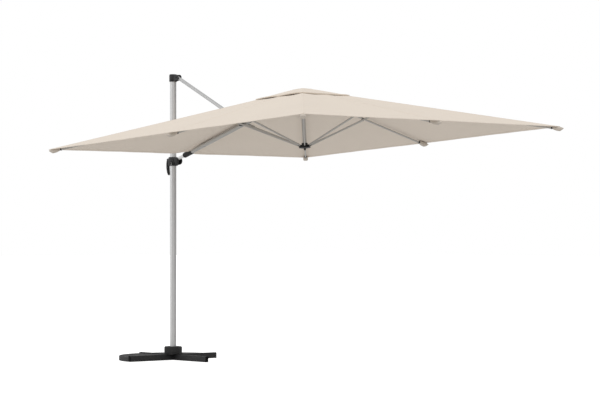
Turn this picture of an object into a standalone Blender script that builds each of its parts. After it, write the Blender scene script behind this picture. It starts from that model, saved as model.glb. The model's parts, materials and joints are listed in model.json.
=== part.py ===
"""Cantilever parasol: cross base with ballast, swivelling mast, sliding arm, folding square canopy.

Units are metres, +Z is up. The origin is on the ground under the mast, and +X points at the canopy.
"""
import math

import bmesh
import bpy
from mathutils import Matrix, Vector

# ---- driving dimensions -------------------------------------------------------------------------
GAP = 0.0003                     # air left between touching pieces
CANOPY_HALF = 1.5                # half side of the square canopy
CANOPY_CENTRE = Vector((1.642, 0.0, 1.8995))
CANOPY_TILT = math.radians(3.63)  # the outer edge stands higher than the edge at the mast
PEAK = 0.421                     # height of the vent cap's peak over the edges
MAST_TOP = 2.516
MAST_RADIUS = 0.0275
MAST_BORE = 0.0243               # bore of the mast's foot, around the swivel's bush
BASE_TURN = math.radians(-3.8)   # the mast stands swivelled by this much on the cross

# cross base
BAR_WIDTH = 0.030
BAR_HEIGHT = 0.051
BAR_WALL = 0.003
BAR_REACH = 0.478
CAP_THICKNESS = 0.004
CAP_PLUG = 0.015
BALLAST_RADIUS = 0.476
BALLAST_HEIGHT = 0.042
BALLAST_CLEARANCE = 0.002
PLATE_SIDE = 0.140
PLATE_THICKNESS = 0.005
SPIGOT_RADIUS = 0.0225
BOLT_CIRCLE = 0.086

# swivel housing on the mast's foot
HOUSING_RADIUS = 0.0785
HOUSING_TOP = 0.1205
HOUSING_FLOOR = BAR_HEIGHT + PLATE_THICKNESS + 3 * GAP
HOUSING_WALL = 0.005

# linkage pivots, all in the plane y = 0
ROD_PIVOT = Vector((0.062, 0.0, 2.484))
ARM_PIVOT = Vector((0.065, 0.0, 1.770))
LEVER_PIVOT = Vector((-0.056, 0.0, 1.764))
KNOB_AT = 0.895                  # distance along the arm from its pivot to the lever's bolt
HUB_CIRCLE = 0.047               # radius of the circle of rib and strut pivots
HUB_HEIGHT = 0.371               # rib pivots over the canopy's edges
RUNNER_HEIGHT = -0.055           # strut pivots over the canopy's edges

EAR_RADIUS = 0.028               # round ends of the mast cap's ears
CHEEK_RADIUS = 0.030             # round cheeks of the slider, on both sides of the arm's foot
CHEEK_DROP = 0.020               # the cheeks' middle under the arm's pivot

# ribs and struts
RIB_WIDTH = 0.012
RIB_DEPTH = 0.015
STRUT_WIDTH = 0.010
STRUT_DEPTH = 0.015
STRUT_DROP = 0.016               # strut joint under the rib's middle line
SIDE_RIB_END = (1.49, -0.012)    # distance from the pole and height of the rib's end
CORNER_RIB_END = (2.10, -0.010)
SIDE_STRUT_JOINT = 0.69          # distance along the rib from its pivot
CORNER_STRUT_JOINT = 0.68

# arm
ARM_RADIUS = 0.019
INNER_TUBE_RADIUS = 0.014
SLEEVE_RADIUS = 0.026
SLEEVE_START = 0.098
SLEEVE_LENGTH = 0.066
PIN_RADIUS = 0.005
LINK_PIN_RADIUS = 0.003
STRUT_PIN_RADIUS = 0.0022
BALL_RADIUS = 0.0135             # ball under the runner

# lever: a rod and a link strut between two cheeks, which turn on the knob's bolt
ROD_START = 0.130                # from the bolt to the rod's end, so that it clears the folded arm
LINK_START = 0.080
BLOCK_LENGTH = 0.036
ROD_DEPTH = 0.025

# canopy
CLOTH = 0.002
VENT_HOLE = 0.16                 # half side of the opening under the vent cap
VENT_HALF = 0.29
PANEL_PEAK = 0.413               # where the panels' planes would meet over the pole
PANEL_GAP = 0.001
SCALLOP = 0.016                  # how far each edge is drawn in between its corner and its middle
ARM_LIFT = 0.030                 # rise of the cloth's edge where it rides over the arm
SLIT = (-0.86, -0.69)            # opening for the rod, along the arm
SLIT_HALF = 0.029

ROUND = 24                       # sides of a round piece
SMALL_ROUND = 16

SIDE_AZIMUTHS = {"right": -90.0, "front": 0.0, "left": 90.0}
CORNER_AZIMUTHS = {
    "rear_right": -135.0, "front_right": -45.0, "front_left": 45.0, "rear_left": 135.0,
}


# ---- helpers ------------------------------------------------------------------------------------
def clear_scene():
    for item in list(bpy.data.objects):
        bpy.data.objects.remove(item, do_unlink=True)


def make_material(name, colour, roughness, metallic=0.0):
    material = bpy.data.materials.new(name)
    material.use_nodes = True
    shader = material.node_tree.nodes["Principled BSDF"]
    shader.inputs["Base Color"].default_value = (*colour, 1.0)
    shader.inputs["Roughness"].default_value = roughness
    shader.inputs["Metallic"].default_value = metallic
    return material


def make_object(name, mesh_data, frame, colour, smooth=True):
    """Turn a bmesh into a named object that stands in the given frame."""
    bmesh.ops.recalc_face_normals(mesh_data, faces=mesh_data.faces)
    mesh = bpy.data.meshes.new(name)
    mesh_data.to_mesh(mesh)
    mesh_data.free()
    if smooth:
        mesh.shade_smooth()
        mesh.set_sharp_from_angle(angle=math.radians(35))
    piece = bpy.data.objects.new(name, mesh)
    bpy.context.collection.objects.link(piece)
    piece.matrix_world = frame
    if colour is None:
        piece.hide_render = True
        piece.display_type = "WIRE"
    else:
        mesh.materials.append(colour)
    return piece


def helper(name, mesh_data, frame):
    """A cutter or an added shape, which is no piece of its own."""
    return make_object(name, mesh_data, frame, None)


def combine(piece, other, operation):
    modifier = piece.modifiers.new(other.name, "BOOLEAN")
    modifier.operation = operation
    modifier.object = other
    modifier.solver = "EXACT"


def move(x=0.0, y=0.0, z=0.0):
    return Matrix.Translation((x, y, z))


def turn(angle, axis):
    return Matrix.Rotation(angle, 4, axis)


def box_shape(x0, x1, y0, y1, z0, z1):
    shape = bmesh.new()
    centre = Vector(((x0 + x1) / 2, (y0 + y1) / 2, (z0 + z1) / 2))
    size = Matrix.Diagonal((x1 - x0, y1 - y0, z1 - z0, 1.0))
    bmesh.ops.create_cube(shape, size=1.0, matrix=Matrix.Translation(centre) @ size)
    return shape


def prism_shape(outline, low, high, axis="Y"):
    """Extrude a closed outline of two coordinates from low to high along an axis."""
    def corner(point, level):
        a, b = point
        if axis == "Y":
            return (a, level, b)
        if axis == "X":
            return (level, a, b)
        return (a, b, level)
    shape = bmesh.new()
    first = [shape.verts.new(corner(point, low)) for point in outline]
    last = [shape.verts.new(corner(point, high)) for point in outline]
    shape.faces.new(first)
    shape.faces.new(last)
    count = len(outline)
    for i in range(count):
        j = (i + 1) % count
        shape.faces.new((first[i], first[j], last[j], last[i]))
    return shape


def turned_shape(profile, sides=ROUND, axis="Z"):
    """Turn a closed profile of (radius, level) points about an axis. Radius 0 becomes one point."""
    shape = bmesh.new()
    rings = []
    for radius, level in profile:
        ring = []
        if radius == 0.0:
            ring.append(shape.verts.new(on_axis(0.0, 0.0, level, axis)))
        else:
            for i in range(sides):
                angle = 2 * math.pi * i / sides
                ring.append(shape.verts.new(
                    on_axis(radius * math.cos(angle), radius * math.sin(angle), level, axis)))
        rings.append(ring)
    for ring, following in zip(rings, rings[1:] + rings[:1]):
        bridge(shape, ring, following)
    return shape


def on_axis(a, b, level, axis):
    if axis == "Z":
        return (a, b, level)
    if axis == "X":
        return (level, a, b)
    return (b, level, a)


def bridge(shape, ring, following):
    if len(ring) == 1 and len(following) == 1:
        return
    count = max(len(ring), len(following))
    for i in range(count):
        j = (i + 1) % count
        if len(ring) == 1:
            shape.faces.new((ring[0], following[j], following[i]))
        elif len(following) == 1:
            shape.faces.new((ring[i], ring[j], following[0]))
        else:
            shape.faces.new((ring[i], ring[j], following[j], following[i]))


def tube_shape(outer, inner, start, end, sides=ROUND, axis="X"):
    return turned_shape([(outer, start), (outer, end), (inner, end), (inner, start)], sides, axis)


def rod_shape(radius, start, end, sides=SMALL_ROUND, axis="Y"):
    return turned_shape([(0.0, start), (radius, start), (radius, end), (0.0, end)], sides, axis)


def arc(centre, radius, start, end, steps):
    """Points on an arc, angles in degrees."""
    points = []
    for i in range(steps + 1):
        angle = math.radians(start + (end - start) * i / steps)
        points.append((centre[0] + radius * math.cos(angle), centre[1] + radius * math.sin(angle)))
    return points


def capsule(start, end, radius, steps=8):
    """Outline of a bar with round ends, between two points."""
    heading = math.degrees(math.atan2(end[1] - start[1], end[0] - start[0]))
    return (arc(start, radius, heading + 90, heading + 270, steps)
            + arc(end, radius, heading - 90, heading + 90, steps))


def round_ended(length, radius):
    """Outline of a bar along x, round about the origin and square at its far end."""
    return arc((0.0, 0.0), radius, 90, 270, 8) + [(length, -radius), (length, radius)]


def along(start, end):
    """Frame at start whose x axis points at end, in the plane y = 0."""
    run = end - start
    return Matrix.Translation(start) @ turn(math.atan2(-run.z, run.x), "Y")


# ---- frames -------------------------------------------------------------------------------------
BASE_FRAME = turn(BASE_TURN, "Z")
CANOPY_FRAME = Matrix.Translation(CANOPY_CENTRE) @ turn(-CANOPY_TILT, "Y")
HUB_PIVOT = CANOPY_FRAME @ Vector((-HUB_CIRCLE, 0.0, HUB_HEIGHT))
RUNNER_PIVOT = CANOPY_FRAME @ Vector((-HUB_CIRCLE, 0.0, RUNNER_HEIGHT))
ARM_FRAME = along(ARM_PIVOT, HUB_PIVOT)
ARM_LENGTH = (HUB_PIVOT - ARM_PIVOT).length
KNOB_PIVOT = ARM_FRAME @ Vector((KNOB_AT, 0.0, 0.0))


def rib_data(azimuth):
    """Frame at the rib's pivot with x along the rib, its length, and the strut joint on it."""
    end_distance, end_height = SIDE_RIB_END if azimuth % 90 == 0 else CORNER_RIB_END
    joint = SIDE_STRUT_JOINT if azimuth % 90 == 0 else CORNER_STRUT_JOINT
    run = end_distance - HUB_CIRCLE
    drop = HUB_HEIGHT - end_height
    frame = (CANOPY_FRAME @ turn(math.radians(azimuth), "Z") @ move(HUB_CIRCLE, 0.0, HUB_HEIGHT)
             @ turn(math.atan2(drop, run), "Y"))
    return frame, math.hypot(run, drop), joint


# ---- base ---------------------------------------------------------------------------------------
def build_bar(name, frame, start, end, colour):
    """Rectangular tube on the ground, along the frame's x axis, open at both ends."""
    half = BAR_WIDTH / 2
    shape = box_shape(start, end, -half, half, 0.0, BAR_HEIGHT)
    bar = make_object(name, shape, frame, colour, smooth=False)
    bore = box_shape(start - 0.01, end + 0.01, BAR_WALL - half, half - BAR_WALL,
                     BAR_WALL, BAR_HEIGHT - BAR_WALL)
    combine(bar, helper("bore_of_" + name, bore, frame), "DIFFERENCE")
    return bar


def build_bar_cap(name, frame, colour):
    """Plastic plug that closes a bar's outer end, with a flange as large as the bar."""
    half = BAR_WIDTH / 2
    inside = BAR_WALL + GAP
    start = BAR_REACH - CAP_THICKNESS + GAP
    cap = make_object(name, box_shape(start, BAR_REACH, -half, half, 0.0, BAR_HEIGHT),
                      frame, colour, smooth=False)
    plug = box_shape(start - CAP_PLUG, start + 0.001, inside - half, half - inside,
                     inside, BAR_HEIGHT - inside)
    combine(cap, helper("plug_of_" + name, plug, frame), "UNION")


def build_ballast(name, frame, colour):
    """Quarter of a disc that fills one bay of the cross."""
    side = BAR_WIDTH / 2 + BALLAST_CLEARANCE
    reach = math.degrees(math.asin(side / BALLAST_RADIUS))
    outline = [(side, side)] + arc((0.0, 0.0), BALLAST_RADIUS, reach, 90 - reach, 20)
    slab = make_object(name, prism_shape(outline, 0.0, BALLAST_HEIGHT, "Z"), frame, colour)
    bevel = slab.modifiers.new("rounded edges", "BEVEL")
    bevel.width = 0.003
    bevel.segments = 2
    bevel.limit_method = "ANGLE"
    bevel.angle_limit = math.radians(60)


def build_base(paint, plug_plastic, stone, steel):
    quarter = math.radians(90)
    inner = BAR_WIDTH / 2 + GAP
    tube_end = BAR_REACH - CAP_THICKNESS
    build_bar("cross_bar_long", BASE_FRAME @ turn(quarter, "Z"), -tube_end, tube_end, paint)
    build_bar("cross_bar_front", BASE_FRAME, inner, tube_end, paint)
    build_bar("cross_bar_rear", BASE_FRAME @ turn(2 * quarter, "Z"), inner, tube_end, paint)
    for index, side in enumerate(("front", "left", "rear", "right")):
        build_bar_cap("bar_cap_" + side, BASE_FRAME @ turn(index * quarter, "Z"), plug_plastic)
    build_ballast("ballast_slab_left", BASE_FRAME @ turn(quarter, "Z"), stone)
    build_ballast("ballast_slab_right", BASE_FRAME @ turn(2 * quarter, "Z"), stone)

    half = PLATE_SIDE / 2
    bottom = BAR_HEIGHT + GAP
    top = bottom + PLATE_THICKNESS
    plate = make_object("mounting_plate", box_shape(-half, half, -half, half, bottom, top),
                        BASE_FRAME, paint, smooth=False)
    for angle in (45, 135, 225, 315):
        head = bmesh.new()
        bmesh.ops.create_cone(head, cap_ends=True, segments=6, radius1=0.0065, radius2=0.0065,
                              depth=0.006)
        place = BASE_FRAME @ turn(math.radians(angle), "Z") @ move(BOLT_CIRCLE / 2, 0.0, top + 0.002)
        combine(plate, helper(f"plate_bolt_{angle}", head, place), "UNION")
    spigot = tube_shape(SPIGOT_RADIUS, SPIGOT_RADIUS - 0.003, top + GAP, HOUSING_TOP - 0.008, axis="Z")
    make_object("swivel_spigot", spigot, BASE_FRAME, steel)


# ---- mast ---------------------------------------------------------------------------------------
def build_mast(aluminium, black, bush_plastic):
    wall = HOUSING_RADIUS - HOUSING_WALL
    collar = MAST_RADIUS + 0.004
    housing = turned_shape([
        (HOUSING_RADIUS, HOUSING_FLOOR), (HOUSING_RADIUS, HOUSING_TOP - 0.010),
        (HOUSING_RADIUS - 0.003, HOUSING_TOP - 0.003), (HOUSING_RADIUS - 0.010, HOUSING_TOP),
        (MAST_RADIUS + GAP, HOUSING_TOP), (MAST_RADIUS + GAP, HOUSING_TOP - 0.030),
        (collar, HOUSING_TOP - 0.030), (collar, HOUSING_TOP - HOUSING_WALL),
        (wall, HOUSING_TOP - HOUSING_WALL), (wall, HOUSING_FLOOR),
    ], 32)
    make_object("swivel_housing", housing, Matrix.Identity(4), black)
    bush = tube_shape(MAST_BORE - GAP, SPIGOT_RADIUS + GAP, HOUSING_FLOOR + 0.004,
                      HOUSING_TOP - 0.010, axis="Z")
    make_object("swivel_bush", bush, Matrix.Identity(4), bush_plastic)
    make_object("mast_tube", mast_section(), Matrix.Identity(4), aluminium)
    build_mast_cap(black)


def mast_section():
    """Round tube with a shallow groove down each of four sides."""
    groove_half = 4.5
    groove_depth = 0.0022
    outline = []
    for quarter in range(4):
        middle = 90 * quarter + 45
        sunk = MAST_RADIUS - groove_depth
        outline += arc((0, 0), sunk, middle - groove_half, middle + groove_half, 1)
        outline += arc((0, 0), MAST_RADIUS, middle + groove_half + 1, middle + 90 - groove_half - 1, 7)
    inner = MAST_RADIUS - 0.0048
    shape = bmesh.new()
    low, high = HOUSING_FLOOR + 0.004, MAST_TOP - 0.010
    inner_low = HOUSING_TOP + 0.004
    angles = [math.atan2(y, x) for x, y in outline]
    rings = []
    for radius, level in ((None, low), (None, high), (inner, high), (inner, inner_low),
                          (MAST_BORE, inner_low), (MAST_BORE, low)):
        ring = []
        for (x, y), angle in zip(outline, angles):
            if radius is not None:
                x, y = radius * math.cos(angle), radius * math.sin(angle)
            ring.append(shape.verts.new((x, y, level)))
        rings.append(ring)
    for ring, following in zip(rings, rings[1:] + rings[:1]):
        bridge(shape, ring, following)
    return shape


def build_mast_cap(black):
    """Cap over the mast's end, with two ears that hold the upper rod by a screw each."""
    top = MAST_TOP
    skirt = MAST_TOP - 0.066
    outer = 0.0345
    cap = make_object("mast_cap", turned_shape([
        (outer, skirt), (outer, top - 0.006), (outer - 0.006, top), (0.0, top),
        (0.0, top - 0.0095), (MAST_RADIUS + GAP, top - 0.0095), (MAST_RADIUS + GAP, skirt),
    ]), Matrix.Identity(4), black)
    for side in (-1, 1):
        low, high = sorted((side * 0.0155, side * 0.0212))
        outline = ([(0.0245, ROD_PIVOT.z - 0.026)]
                   + arc((ROD_PIVOT.x + 0.002, ROD_PIVOT.z), EAR_RADIUS, -65, 90, 10)
                   + [(0.0245, ROD_PIVOT.z + EAR_RADIUS)])
        ear = helper(f"ear_{side}", prism_shape(outline, low, high), Matrix.Identity(4))
        combine(cap, ear, "UNION")
        head = rod_shape(0.0085, min(side * 0.0200, side * 0.0245), max(side * 0.0200, side * 0.0245))
        screw = helper(f"rod_screw_{side}", head, Matrix.Translation(ROD_PIVOT))
        combine(cap, screw, "UNION")


# ---- slider -------------------------------------------------------------------------------------
def build_slider(black, bush_plastic, steel):
    centre = ARM_PIVOT.z - 0.024
    low, high = centre - 0.037, centre + 0.040
    bore = MAST_RADIUS + 0.0032
    collar = make_object("slider_collar", turned_shape([
        (0.0385, low), (0.0425, low + 0.006), (0.0425, high - 0.006), (0.0385, high),
        (bore, high), (bore, low),
    ]), Matrix.Identity(4), black)
    for side in (-1, 1):
        inner, outer = side * 0.0165, side * 0.0245
        cheek_outline = ([(0.0330, centre - 0.030)]
                         + arc((ARM_PIVOT.x, ARM_PIVOT.z - CHEEK_DROP), CHEEK_RADIUS, -80, 100, 14)
                         + [(0.0330, ARM_PIVOT.z - CHEEK_DROP + CHEEK_RADIUS - 0.004)])
        cheek = prism_shape(cheek_outline, min(inner, outer), max(inner, outer))
        combine(collar, helper(f"cheek_{side}", cheek, Matrix.Identity(4)), "UNION")
        lug_low, lug_high = sorted((side * 0.0135, side * 0.0185))
        lug_outline = capsule((-0.038, LEVER_PIVOT.z), (LEVER_PIVOT.x, LEVER_PIVOT.z), 0.009)
        lug = prism_shape(lug_outline, lug_low, lug_high)
        combine(collar, helper(f"lug_{side}", lug, Matrix.Identity(4)), "UNION")
    pin_hole = rod_shape(PIN_RADIUS + GAP, -0.03, 0.03)
    combine(collar, helper("arm_pin_hole", pin_hole, Matrix.Translation(ARM_PIVOT)), "DIFFERENCE")
    lever_hole = rod_shape(LINK_PIN_RADIUS + GAP, -0.03, 0.03)
    combine(collar, helper("lever_pin_hole", lever_hole, Matrix.Translation(LEVER_PIVOT)), "DIFFERENCE")

    liner = tube_shape(bore - GAP, MAST_RADIUS + GAP, low + 0.002, high - 0.002, axis="Z")
    make_object("slider_liner", liner, Matrix.Identity(4), bush_plastic)
    make_object("arm_pivot_pin", rod_shape(PIN_RADIUS, -0.0275, 0.0275),
                Matrix.Translation(ARM_PIVOT), steel)
    screw = turned_shape([
        (0.0, 0.0), (0.0135, 0.0), (0.0155, 0.003), (0.0155, 0.009), (0.0125, 0.012),
        (0.0060, 0.012), (0.0060, 0.0095), (0.0, 0.0095),
    ], ROUND, "Y")
    side_frame = Matrix.Translation((0.0, 0.0, low + 0.018)) @ turn(math.radians(25), "Z")
    make_object("lock_screw", screw, side_frame @ move(0.0, -0.0428, 0.0) @ turn(math.pi, "Z"), black)


def build_release_lever(black):
    """Curved grip that hangs behind the mast and frees the slider when it is pulled."""
    inner = [(-0.006, -0.010), (-0.010, -0.040), (-0.0095, -0.075), (-0.003, -0.112), (0.004, -0.136)]
    outer = [(-0.004, -0.142), (-0.013, -0.118), (-0.0215, -0.078), (-0.022, -0.040), (-0.012, -0.004)]
    outline = arc((0.0, 0.0), 0.0085, -30, 150, 8) + list(reversed(outer)) + list(reversed(inner))
    lever = make_object("release_lever", prism_shape(outline, -0.0125, 0.0125),
                        Matrix.Translation(LEVER_PIVOT), black)
    trunnion = rod_shape(LINK_PIN_RADIUS, -0.0205, 0.0205)
    combine(lever, helper("lever_trunnion", trunnion, Matrix.Translation(LEVER_PIVOT)), "UNION")


# ---- arm ----------------------------------------------------------------------------------------
def build_arm(aluminium, white, black, steel):
    sleeve_end = SLEEVE_START + SLEEVE_LENGTH
    inner_tube = make_object(
        "arm_inner_tube", tube_shape(INNER_TUBE_RADIUS, 0.0112, -0.012, sleeve_end - 0.004),
        ARM_FRAME, white)
    pin_hole = rod_shape(PIN_RADIUS + GAP, -0.03, 0.03)
    combine(inner_tube, helper("inner_tube_pin_hole", pin_hole, ARM_FRAME), "DIFFERENCE")
    sleeve = turned_shape([
        (SLEEVE_RADIUS - 0.003, SLEEVE_START), (SLEEVE_RADIUS, SLEEVE_START + 0.003),
        (SLEEVE_RADIUS, sleeve_end - 0.003), (SLEEVE_RADIUS - 0.003, sleeve_end),
        (ARM_RADIUS + GAP, sleeve_end), (ARM_RADIUS + GAP, SLEEVE_START + 0.022),
        (INNER_TUBE_RADIUS + GAP, SLEEVE_START + 0.022), (INNER_TUBE_RADIUS + GAP, SLEEVE_START),
    ], ROUND, "X")
    make_object("arm_sleeve", sleeve, ARM_FRAME, black)
    tube_end = ARM_LENGTH - 0.060
    main = make_object(
        "arm_tube", tube_shape(ARM_RADIUS, ARM_RADIUS - 0.0035, SLEEVE_START + 0.023, tube_end),
        ARM_FRAME, aluminium)
    bolt_hole = rod_shape(PIN_RADIUS + GAP, -0.05, 0.05)
    knob_frame = ARM_FRAME @ move(KNOB_AT)
    combine(main, helper("bolt_hole", bolt_hole, knob_frame), "DIFFERENCE")

    plug_radius = ARM_RADIUS - 0.0035 - GAP
    head = make_object("arm_head", rod_shape(plug_radius, tube_end - 0.050, tube_end + 0.006,
                                             ROUND, "X"), ARM_FRAME, black)
    tongue = prism_shape(capsule((tube_end - 0.010, 0.0), (ARM_LENGTH, 0.0), 0.0085), -0.0075, 0.0075)
    combine(head, helper("tongue", tongue, ARM_FRAME), "UNION")
    eye = rod_shape(LINK_PIN_RADIUS + GAP, -0.03, 0.03)
    combine(head, helper("head_eye", eye, ARM_FRAME @ move(ARM_LENGTH)), "DIFFERENCE")

    bolt = turned_shape([
        (0.0, -0.0300), (PIN_RADIUS, -0.0300), (PIN_RADIUS, 0.0262), (0.0090, 0.0262),
        (0.0090, 0.0310), (0.0, 0.0310),
    ], SMALL_ROUND, "Y")
    make_object("pivot_bolt", bolt, knob_frame, steel)


def build_star_knob(black):
    """Five-lobed hand knob on the bolt's end."""
    outline = []
    for i in range(60):
        angle = 2 * math.pi * i / 60
        radius = 0.0212 + 0.0034 * math.cos(5 * angle)
        outline.append((radius * math.cos(angle), radius * math.sin(angle)))
    frame = Matrix.Translation(KNOB_PIVOT)
    knob = make_object("star_knob", prism_shape(outline, -0.0480, -0.0330), frame, black)
    boss = turned_shape([(0.0, -0.0520), (0.0080, -0.0520), (0.0120, -0.0475), (0.0120, -0.0264),
                         (0.0, -0.0264)], ROUND, "Y")
    combine(knob, helper("knob_boss", boss, frame), "UNION")
    bore = rod_shape(PIN_RADIUS + GAP, -0.0304, -0.0200)
    combine(knob, helper("knob_bore", bore, frame), "DIFFERENCE")


# ---- lever: upper rod and link strut, one stiff piece that turns on the knob's bolt ----------------
def build_lever(aluminium):
    rod_frame = along(ROD_PIVOT, KNOB_PIVOT)
    rod_length = (KNOB_PIVOT - ROD_PIVOT).length
    link_frame = along(KNOB_PIVOT, RUNNER_PIVOT)
    link_length = (RUNNER_PIVOT - KNOB_PIVOT).length
    rod_end = rod_length - ROD_START
    plan = bar_with_block(0.012, ROD_DEPTH, -ROD_DEPTH, rod_end, rod_end - BLOCK_LENGTH)
    rod = make_object("upper_rod", plan, rod_frame, aluminium)
    side_view = prism_shape(round_ended(rod_end + 0.01, ROD_DEPTH / 2), -0.03, 0.03)
    combine(rod, helper("rod_side_view", side_view, rod_frame), "INTERSECT")
    for side in (-1, 1):
        groove = box_shape(0.03, rod_end - 0.06, min(side * 0.0105, side * 0.02),
                           max(side * 0.0105, side * 0.02), -0.003, 0.003)
        combine(rod, helper(f"rod_groove_{side}", groove, rod_frame), "DIFFERENCE")
    link = make_object(
        "link_strut",
        bar_with_block(0.0085, 0.0085, LINK_START, link_length + 0.004, LINK_START),
        link_frame, aluminium)
    eye = rod_shape(LINK_PIN_RADIUS + GAP, -0.03, 0.03)
    combine(link, helper("link_eye", eye, Matrix.Translation(RUNNER_PIVOT)), "DIFFERENCE")

    to_rod = rod_frame.to_3x3() @ Vector((-1.0, 0.0, 0.0))
    to_link = link_frame.to_3x3() @ Vector((1.0, 0.0, 0.0))
    for side, name in ((-1, "lever_cheek_right"), (1, "lever_cheek_left")):
        low, high = sorted((side * 0.0204, side * 0.0254))
        frame = Matrix.Translation(KNOB_PIVOT)
        rod_reach = (ROD_START + BLOCK_LENGTH - 0.014) * to_rod
        link_reach = (LINK_START + BLOCK_LENGTH - 0.014) * to_link
        cheek = make_object(name, prism_shape(capsule((0.0, 0.0), (rod_reach.x, rod_reach.z), 0.0115),
                                              low, high), frame, aluminium)
        lower = prism_shape(capsule((0.0, 0.0), (link_reach.x, link_reach.z), 0.0100), low, high)
        combine(cheek, helper(name + "_lower", lower, frame), "UNION")
        disc = rod_shape(0.0255, low, high, 32)
        combine(cheek, helper(name + "_disc", disc, frame), "UNION")
        hole = rod_shape(PIN_RADIUS + GAP, -0.05, 0.05)
        combine(cheek, helper(name + "_hole", hole, frame), "DIFFERENCE")


def bar_with_block(half_width, half_depth, start, end, block_start):
    """Bar along x whose block is wider, to reach the cheeks on both sides of the arm."""
    block = 0.0201
    x0, x1 = block_start, block_start + BLOCK_LENGTH
    if block_start > (start + end) / 2:
        outline = [(start, -half_width), (x0, -half_width), (x0 + 0.008, -block), (x1, -block),
                   (x1, block), (x0 + 0.008, block), (x0, half_width), (start, half_width)]
    else:
        outline = [(x0, -block), (x1 - 0.008, -block), (x1, -half_width), (end, -half_width),
                   (end, half_width), (x1, half_width), (x1 - 0.008, block), (x0, block)]
    return prism_shape(outline, -half_depth, half_depth, "Z")


# ---- hub, pole, runner --------------------------------------------------------------------------
def slotted_hub(name, profile, frame, slots, colour):
    """Turned hub with one radial slot for each piece that is hinged to it."""
    hub = make_object(name, turned_shape(profile, 32), frame, colour)
    for azimuth, half_width, inner, low, high in slots:
        slot = box_shape(inner, 0.08, -half_width, half_width, low, high)
        cutter = helper(f"{name}_slot_{azimuth:.0f}", slot, frame @ turn(math.radians(azimuth), "Z"))
        combine(hub, cutter, "DIFFERENCE")
    return hub


def build_hubs(black, aluminium, steel):
    azimuths = list(SIDE_AZIMUTHS.values()) + list(CORNER_AZIMUTHS.values())
    frame = CANOPY_FRAME
    top, bottom = HUB_HEIGHT + 0.016, HUB_HEIGHT - 0.013
    slots = [(azimuth, RIB_WIDTH / 2 + 0.001, HUB_CIRCLE - 0.0105, bottom - 0.01, top + 0.01)
             for azimuth in azimuths]
    slots.append((180.0, 0.0085, HUB_CIRCLE - 0.0115, bottom - 0.01, top + 0.01))
    hub = slotted_hub("top_hub", [
        (0.0, bottom), (0.0545, bottom), (0.0545, top - 0.004), (0.0505, top), (0.0200, top),
        (0.0120, PEAK - 0.010), (0.0, PEAK - 0.010),
    ], frame, slots, black)
    for azimuth in azimuths + [180.0]:
        place = frame @ turn(math.radians(azimuth), "Z") @ move(HUB_CIRCLE, 0.0, HUB_HEIGHT)
        pin = rod_shape(LINK_PIN_RADIUS, -0.0095, 0.0095, 12)
        combine(hub, helper(f"rib_pin_{azimuth:.0f}", pin, place), "UNION")

    pole = tube_shape(0.0165, 0.0140, RUNNER_HEIGHT - 0.006, bottom - GAP, axis="Z")
    make_object("centre_pole", pole, frame, aluminium)

    runner_slots = [(180.0, 0.0100, 0.0345, -0.03, 0.03)]
    ball = arc((0.0, -0.026), BALL_RADIUS, 50, -75, 6)
    runner = slotted_hub("lower_hub", [
        (0.0210, 0.024), (0.0260, 0.022), (0.0260, 0.008), (0.0385, 0.006), (0.0385, -0.007),
        (0.0300, -0.012), *ball, (0.0, -0.026 - BALL_RADIUS), (0.0, -0.009), (0.0210, -0.009),
    ], frame @ move(0.0, 0.0, RUNNER_HEIGHT), runner_slots, black)
    for side in (-1, 1):
        low, high = sorted((side * 0.0100, side * 0.0150))
        ear = prism_shape(capsule((-0.030, RUNNER_HEIGHT), (-HUB_CIRCLE, RUNNER_HEIGHT), 0.0068), low, high)
        combine(runner, helper(f"runner_ear_{side}", ear, frame), "UNION")
    link_frame = frame @ move(-HUB_CIRCLE, 0.0, RUNNER_HEIGHT)
    hole = rod_shape(LINK_PIN_RADIUS + GAP, -0.03, 0.03)
    combine(runner, helper("runner_hole", hole, link_frame), "DIFFERENCE")
    make_object("link_pin", rod_shape(LINK_PIN_RADIUS, -0.0165, 0.0165), link_frame, steel)


# ---- ribs and struts ----------------------------------------------------------------------------
def build_ribs_and_struts(rib_metal, strut_metal):
    for side, azimuth in {**SIDE_AZIMUTHS, **CORNER_AZIMUTHS}.items():
        frame, length, joint = rib_data(azimuth)
        build_rib("rib_" + side, frame, length, joint, rib_metal)
        build_strut("strut_" + side, azimuth, frame, joint, strut_metal)


def build_rib(name, frame, length, joint, metal):
    """Bar with a round eye at the hub, and two lugs underneath with a pin for the strut."""
    half = RIB_WIDTH / 2
    rib = make_object(name, prism_shape(round_ended(length, RIB_DEPTH / 2), -half, half), frame, metal)
    hole = rod_shape(LINK_PIN_RADIUS + GAP, -0.02, 0.02)
    combine(rib, helper(name + "_hole", hole, frame), "DIFFERENCE")
    place = frame @ move(joint)
    for side in (-1, 1):
        low, high = sorted((side * (STRUT_WIDTH / 2 + 0.0005), side * (half + 0.0015)))
        outline = (arc((0.0, -STRUT_DROP), STRUT_DEPTH / 2, 180, 360, 8) + [(0.009, 0.0), (-0.009, 0.0)])
        lug = prism_shape(outline, low, high)
        combine(rib, helper(f"{name}_lug_{side}", lug, place), "UNION")
    pin = rod_shape(STRUT_PIN_RADIUS, -half - 0.001, half + 0.001, 12)
    combine(rib, helper(name + "_pin", pin, place @ move(0.0, 0.0, -STRUT_DROP)), "UNION")


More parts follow.
